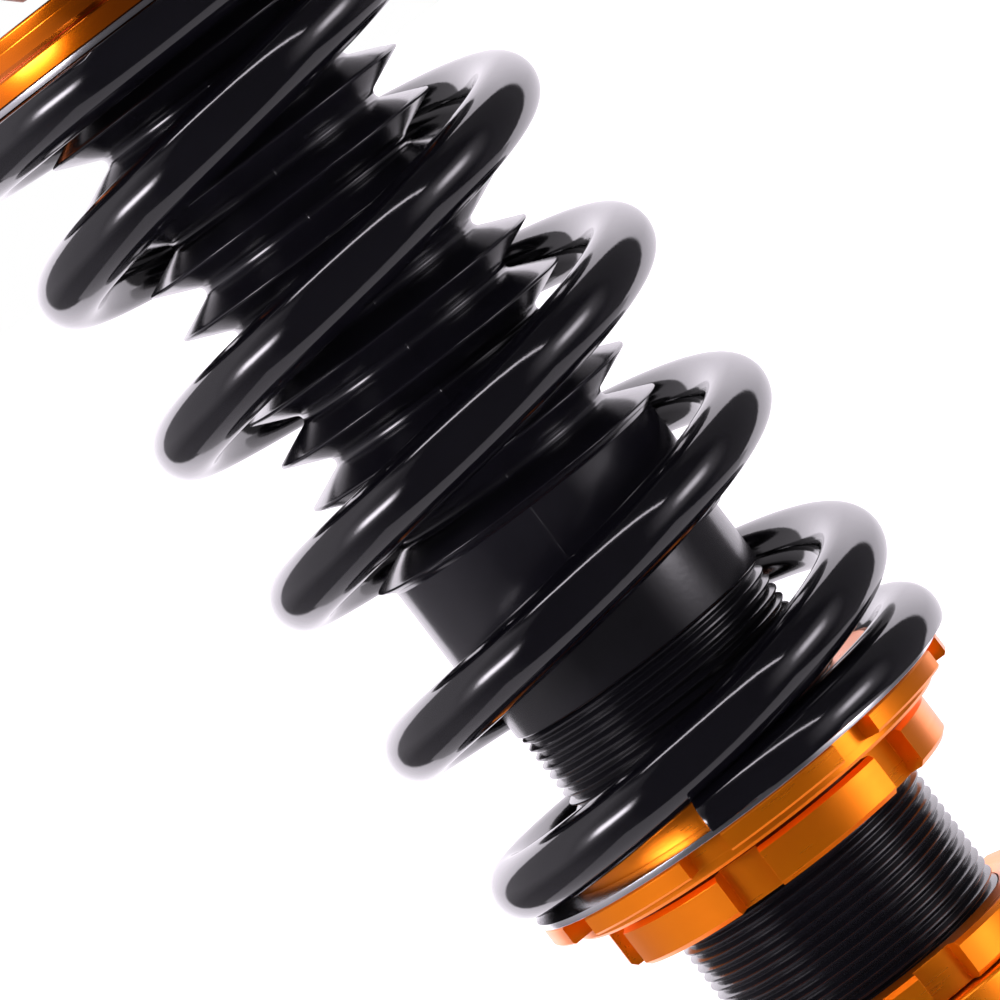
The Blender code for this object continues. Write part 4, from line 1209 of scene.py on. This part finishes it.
def make_knob():
    """Fine straight knurling round the side, a dished top and a slot that shows the setting."""
    name = "damping_knob"
    bottom, top, outer = low(name), high(name), radius_of(name)
    steps, teeth = 192, 48
    rows = []
    for i in range(steps):
        angle = 360.0 * i / steps
        wave = abs(((i * teeth / steps) % 1.0) - 0.5) * 2.0
        side = outer - 0.35 * wave
        slot = 0.7 if min(angle, 360.0 - angle) < 6.0 else 0.0
        outline = [
            (0.0, top - 0.5), (1.6, top - 0.5), (1.9, top - 0.5 - slot),
            (4.9, top - 0.35 - slot), (5.2, top - 0.3), (5.7, top), (outer - 0.9, top),
            (outer - 0.5, top - 0.3), (side, top - 0.8), (side, bottom + 3.4),
            (outer - 0.5, bottom + 2.8), (5.6, bottom + 0.3), (5.3, bottom), (2.2, bottom),
            (2.2, bottom + 4.6), (0.0, bottom + 4.6),
        ]
        rows.append([tuple(polar(r, angle, z)) for r, z in outline])
    work = bmesh.new()
    sweep_rows(work, rows, True, False)
    finish_piece(name + "_fine", work, "orange", "damping_knob", [name], sharp_deg=40.0)


# ---------------------------------------------------------------- lower mount

EYE_HEIGHT = -126.0


def along_y():
    return Matrix.Translation((0, 0, EYE_HEIGHT)) @ Matrix.Rotation(math.radians(90), 4, "X")


def make_lower_mount():
    top, bore = high("lower_mount"), 26.8
    rim, barrel = radius_of("lower_lock_ring") - 0.15, 32.0
    rim_bottom, base, floor = top - 14.0, -107.0, -100.0
    cup = [
        (0.0, floor), (bore, floor), (bore, top - 0.6), (bore + 0.6, top), (rim - 0.8, top),
        (rim, top - 0.8), (rim, rim_bottom), (barrel, rim_bottom - 4.0),
        (barrel, base + 8.0), (barrel - 8.0, base), (0.0, base),
    ]
    work = bmesh.new()
    add_lathe(work, rounded(cup, 1.2, segments=6, closed=False), 144)
    eye, eye_bore, half = 21.0, 15.3, 17.0
    eye_outline = [
        (eye_bore, half), (eye_bore + 0.5, half), (eye - 0.9, half), (eye, half - 0.9),
        (eye, -half + 0.9), (eye - 0.9, -half), (eye_bore + 0.5, -half), (eye_bore, -half),
    ]
    add_lathe(work, rounded(eye_outline, 0.5), 144, along_y())
    add_neck(work, base)
    finish_piece("lower_mount_fine", work, "orange_cast", "lower_mount", ["lower_mount"])


def add_neck(work, base):
    """The web between cup and eye: a rounded rectangle that flares into the cup.

    It is open at both ends, and its lower end reaches into the eye's bore.
    """
    sections = (  # (height, flare)
        (base + 1.6, 3.4), (base + 0.4, 2.0), (base - 0.3, 1.3), (base - 1.2, 0.6),
        (base - 2.4, 0.15), (EYE_HEIGHT + 14.0, 0.0), (EYE_HEIGHT + 8.0, -1.2),
    )
    corners = ((1, 1), (-1, 1), (-1, -1), (1, -1))
    rows = []
    for height, flare in sections:
        half_x, half_y, corner = 18.0 + flare, 15.0 + flare, 4.0 + flare
        row = []
        for turn, (side_x, side_y) in enumerate(corners):
            x, y = (half_x - corner) * side_x, (half_y - corner) * side_y
            for k in range(9):
                angle = math.radians(90.0 * turn + 90.0 * k / 8)
                row.append((x + corner * math.cos(angle), y + corner * math.sin(angle), height))
        rows.append(row)
    sweep_rows(work, rows, False, True)


def make_bush():
    half_outer, half_rubber, half_sleeve = 17.0, 15.5, 20.0
    make_sleeve("outer", "lower_mount", 15.0, 13.6, half_outer, 144, 0.35)
    rubber = []
    for side in (1.0, -1.0):
        face = []
        for k in range(9):
            share = k / 8
            hollow = 2.6 * math.sin(math.pi * share) ** 2
            face.append((13.3 - 3.5 * share, side * (half_rubber - hollow)))
        rubber += face if side > 0 else face[::-1]
    body = body_of("bush_rubber")
    lathe("bush_rubber_fine", rubber, "rubber", body, ["bush_rubber"], 120, 0.0, along_y())
    make_sleeve("inner", body_of("bush_inner_sleeve"), 9.5, 6.1, half_sleeve, 96, 0.5)


def make_sleeve(side, body, outer, inner, half, steps, fillet):
    outline = [(outer, half), (outer, -half), (inner, -half), (inner, half)]
    replaced = [f"bush_{side}_sleeve"]
    lathe(f"bush_{side}_fine", outline, "zinc_bush", body, replaced, steps, fillet, along_y())


def make_body_cap():
    """The damper's end cap, as a solid disc: it lacks the bore that the rod runs through."""
    name = "body_cap"
    bottom, top, outer = low(name), high(name), radius_of(name)
    outline = [
        (0.0, top), (outer, top), (outer, bottom), (8.0, bottom), (7.0, bottom + 1.0),
        (0.0, bottom + 1.0),
    ]
    lathe(name + "_fine", outline, "black", body_of(name), [name], steps=120, fillet=0.4)


materials = make_materials()
make_camera()
make_floor()
make_world()
make_spring()
make_upper_seat()
make_washers()
make_perch()
make_lock_ring("perch_lock_ring", "perch_collar", -15.4)
make_lock_ring("lower_lock_ring", "lower_ring", 14.0)
make_damper_body()
make_boot()
make_top_plate()
make_bearing_housing()
make_circlip("bearing_circlip", "top_mount")
for stud_name in STUDS:
    make_stud(stud_name)
for screw_name in SCREWS:
    make_socket_screw(screw_name)
make_rod()
make_knob()
make_lower_mount()
make_bush()
make_body_cap()

bpy.context.scene.view_settings.view_transform = "Standard"

# Nodes that no fine piece replaces
NODE_MATERIALS = {
    "zinc": ["piston_nut", "seal_head_circlip"],
    "zinc_turned": ["rebound_shims", "compression_shims", "metering_needle"],
    "aluminium": ["seal_head", "piston", "floating_piston", "base_plug", "rebound_stop"],
    "seal": ["wiper_seal", "floating_piston_ring"],
    "bearing_plastic": ["piston_band"],
    "urethane": ["bump_stop"],
}
for material_name, node_names in NODE_MATERIALS.items():
    for node_name in node_names:
        mesh = frame["nodes"][node_name].data
        mesh.materials.clear()
        mesh.materials.append(materials[material_name])

bpy.context.view_layer.update()
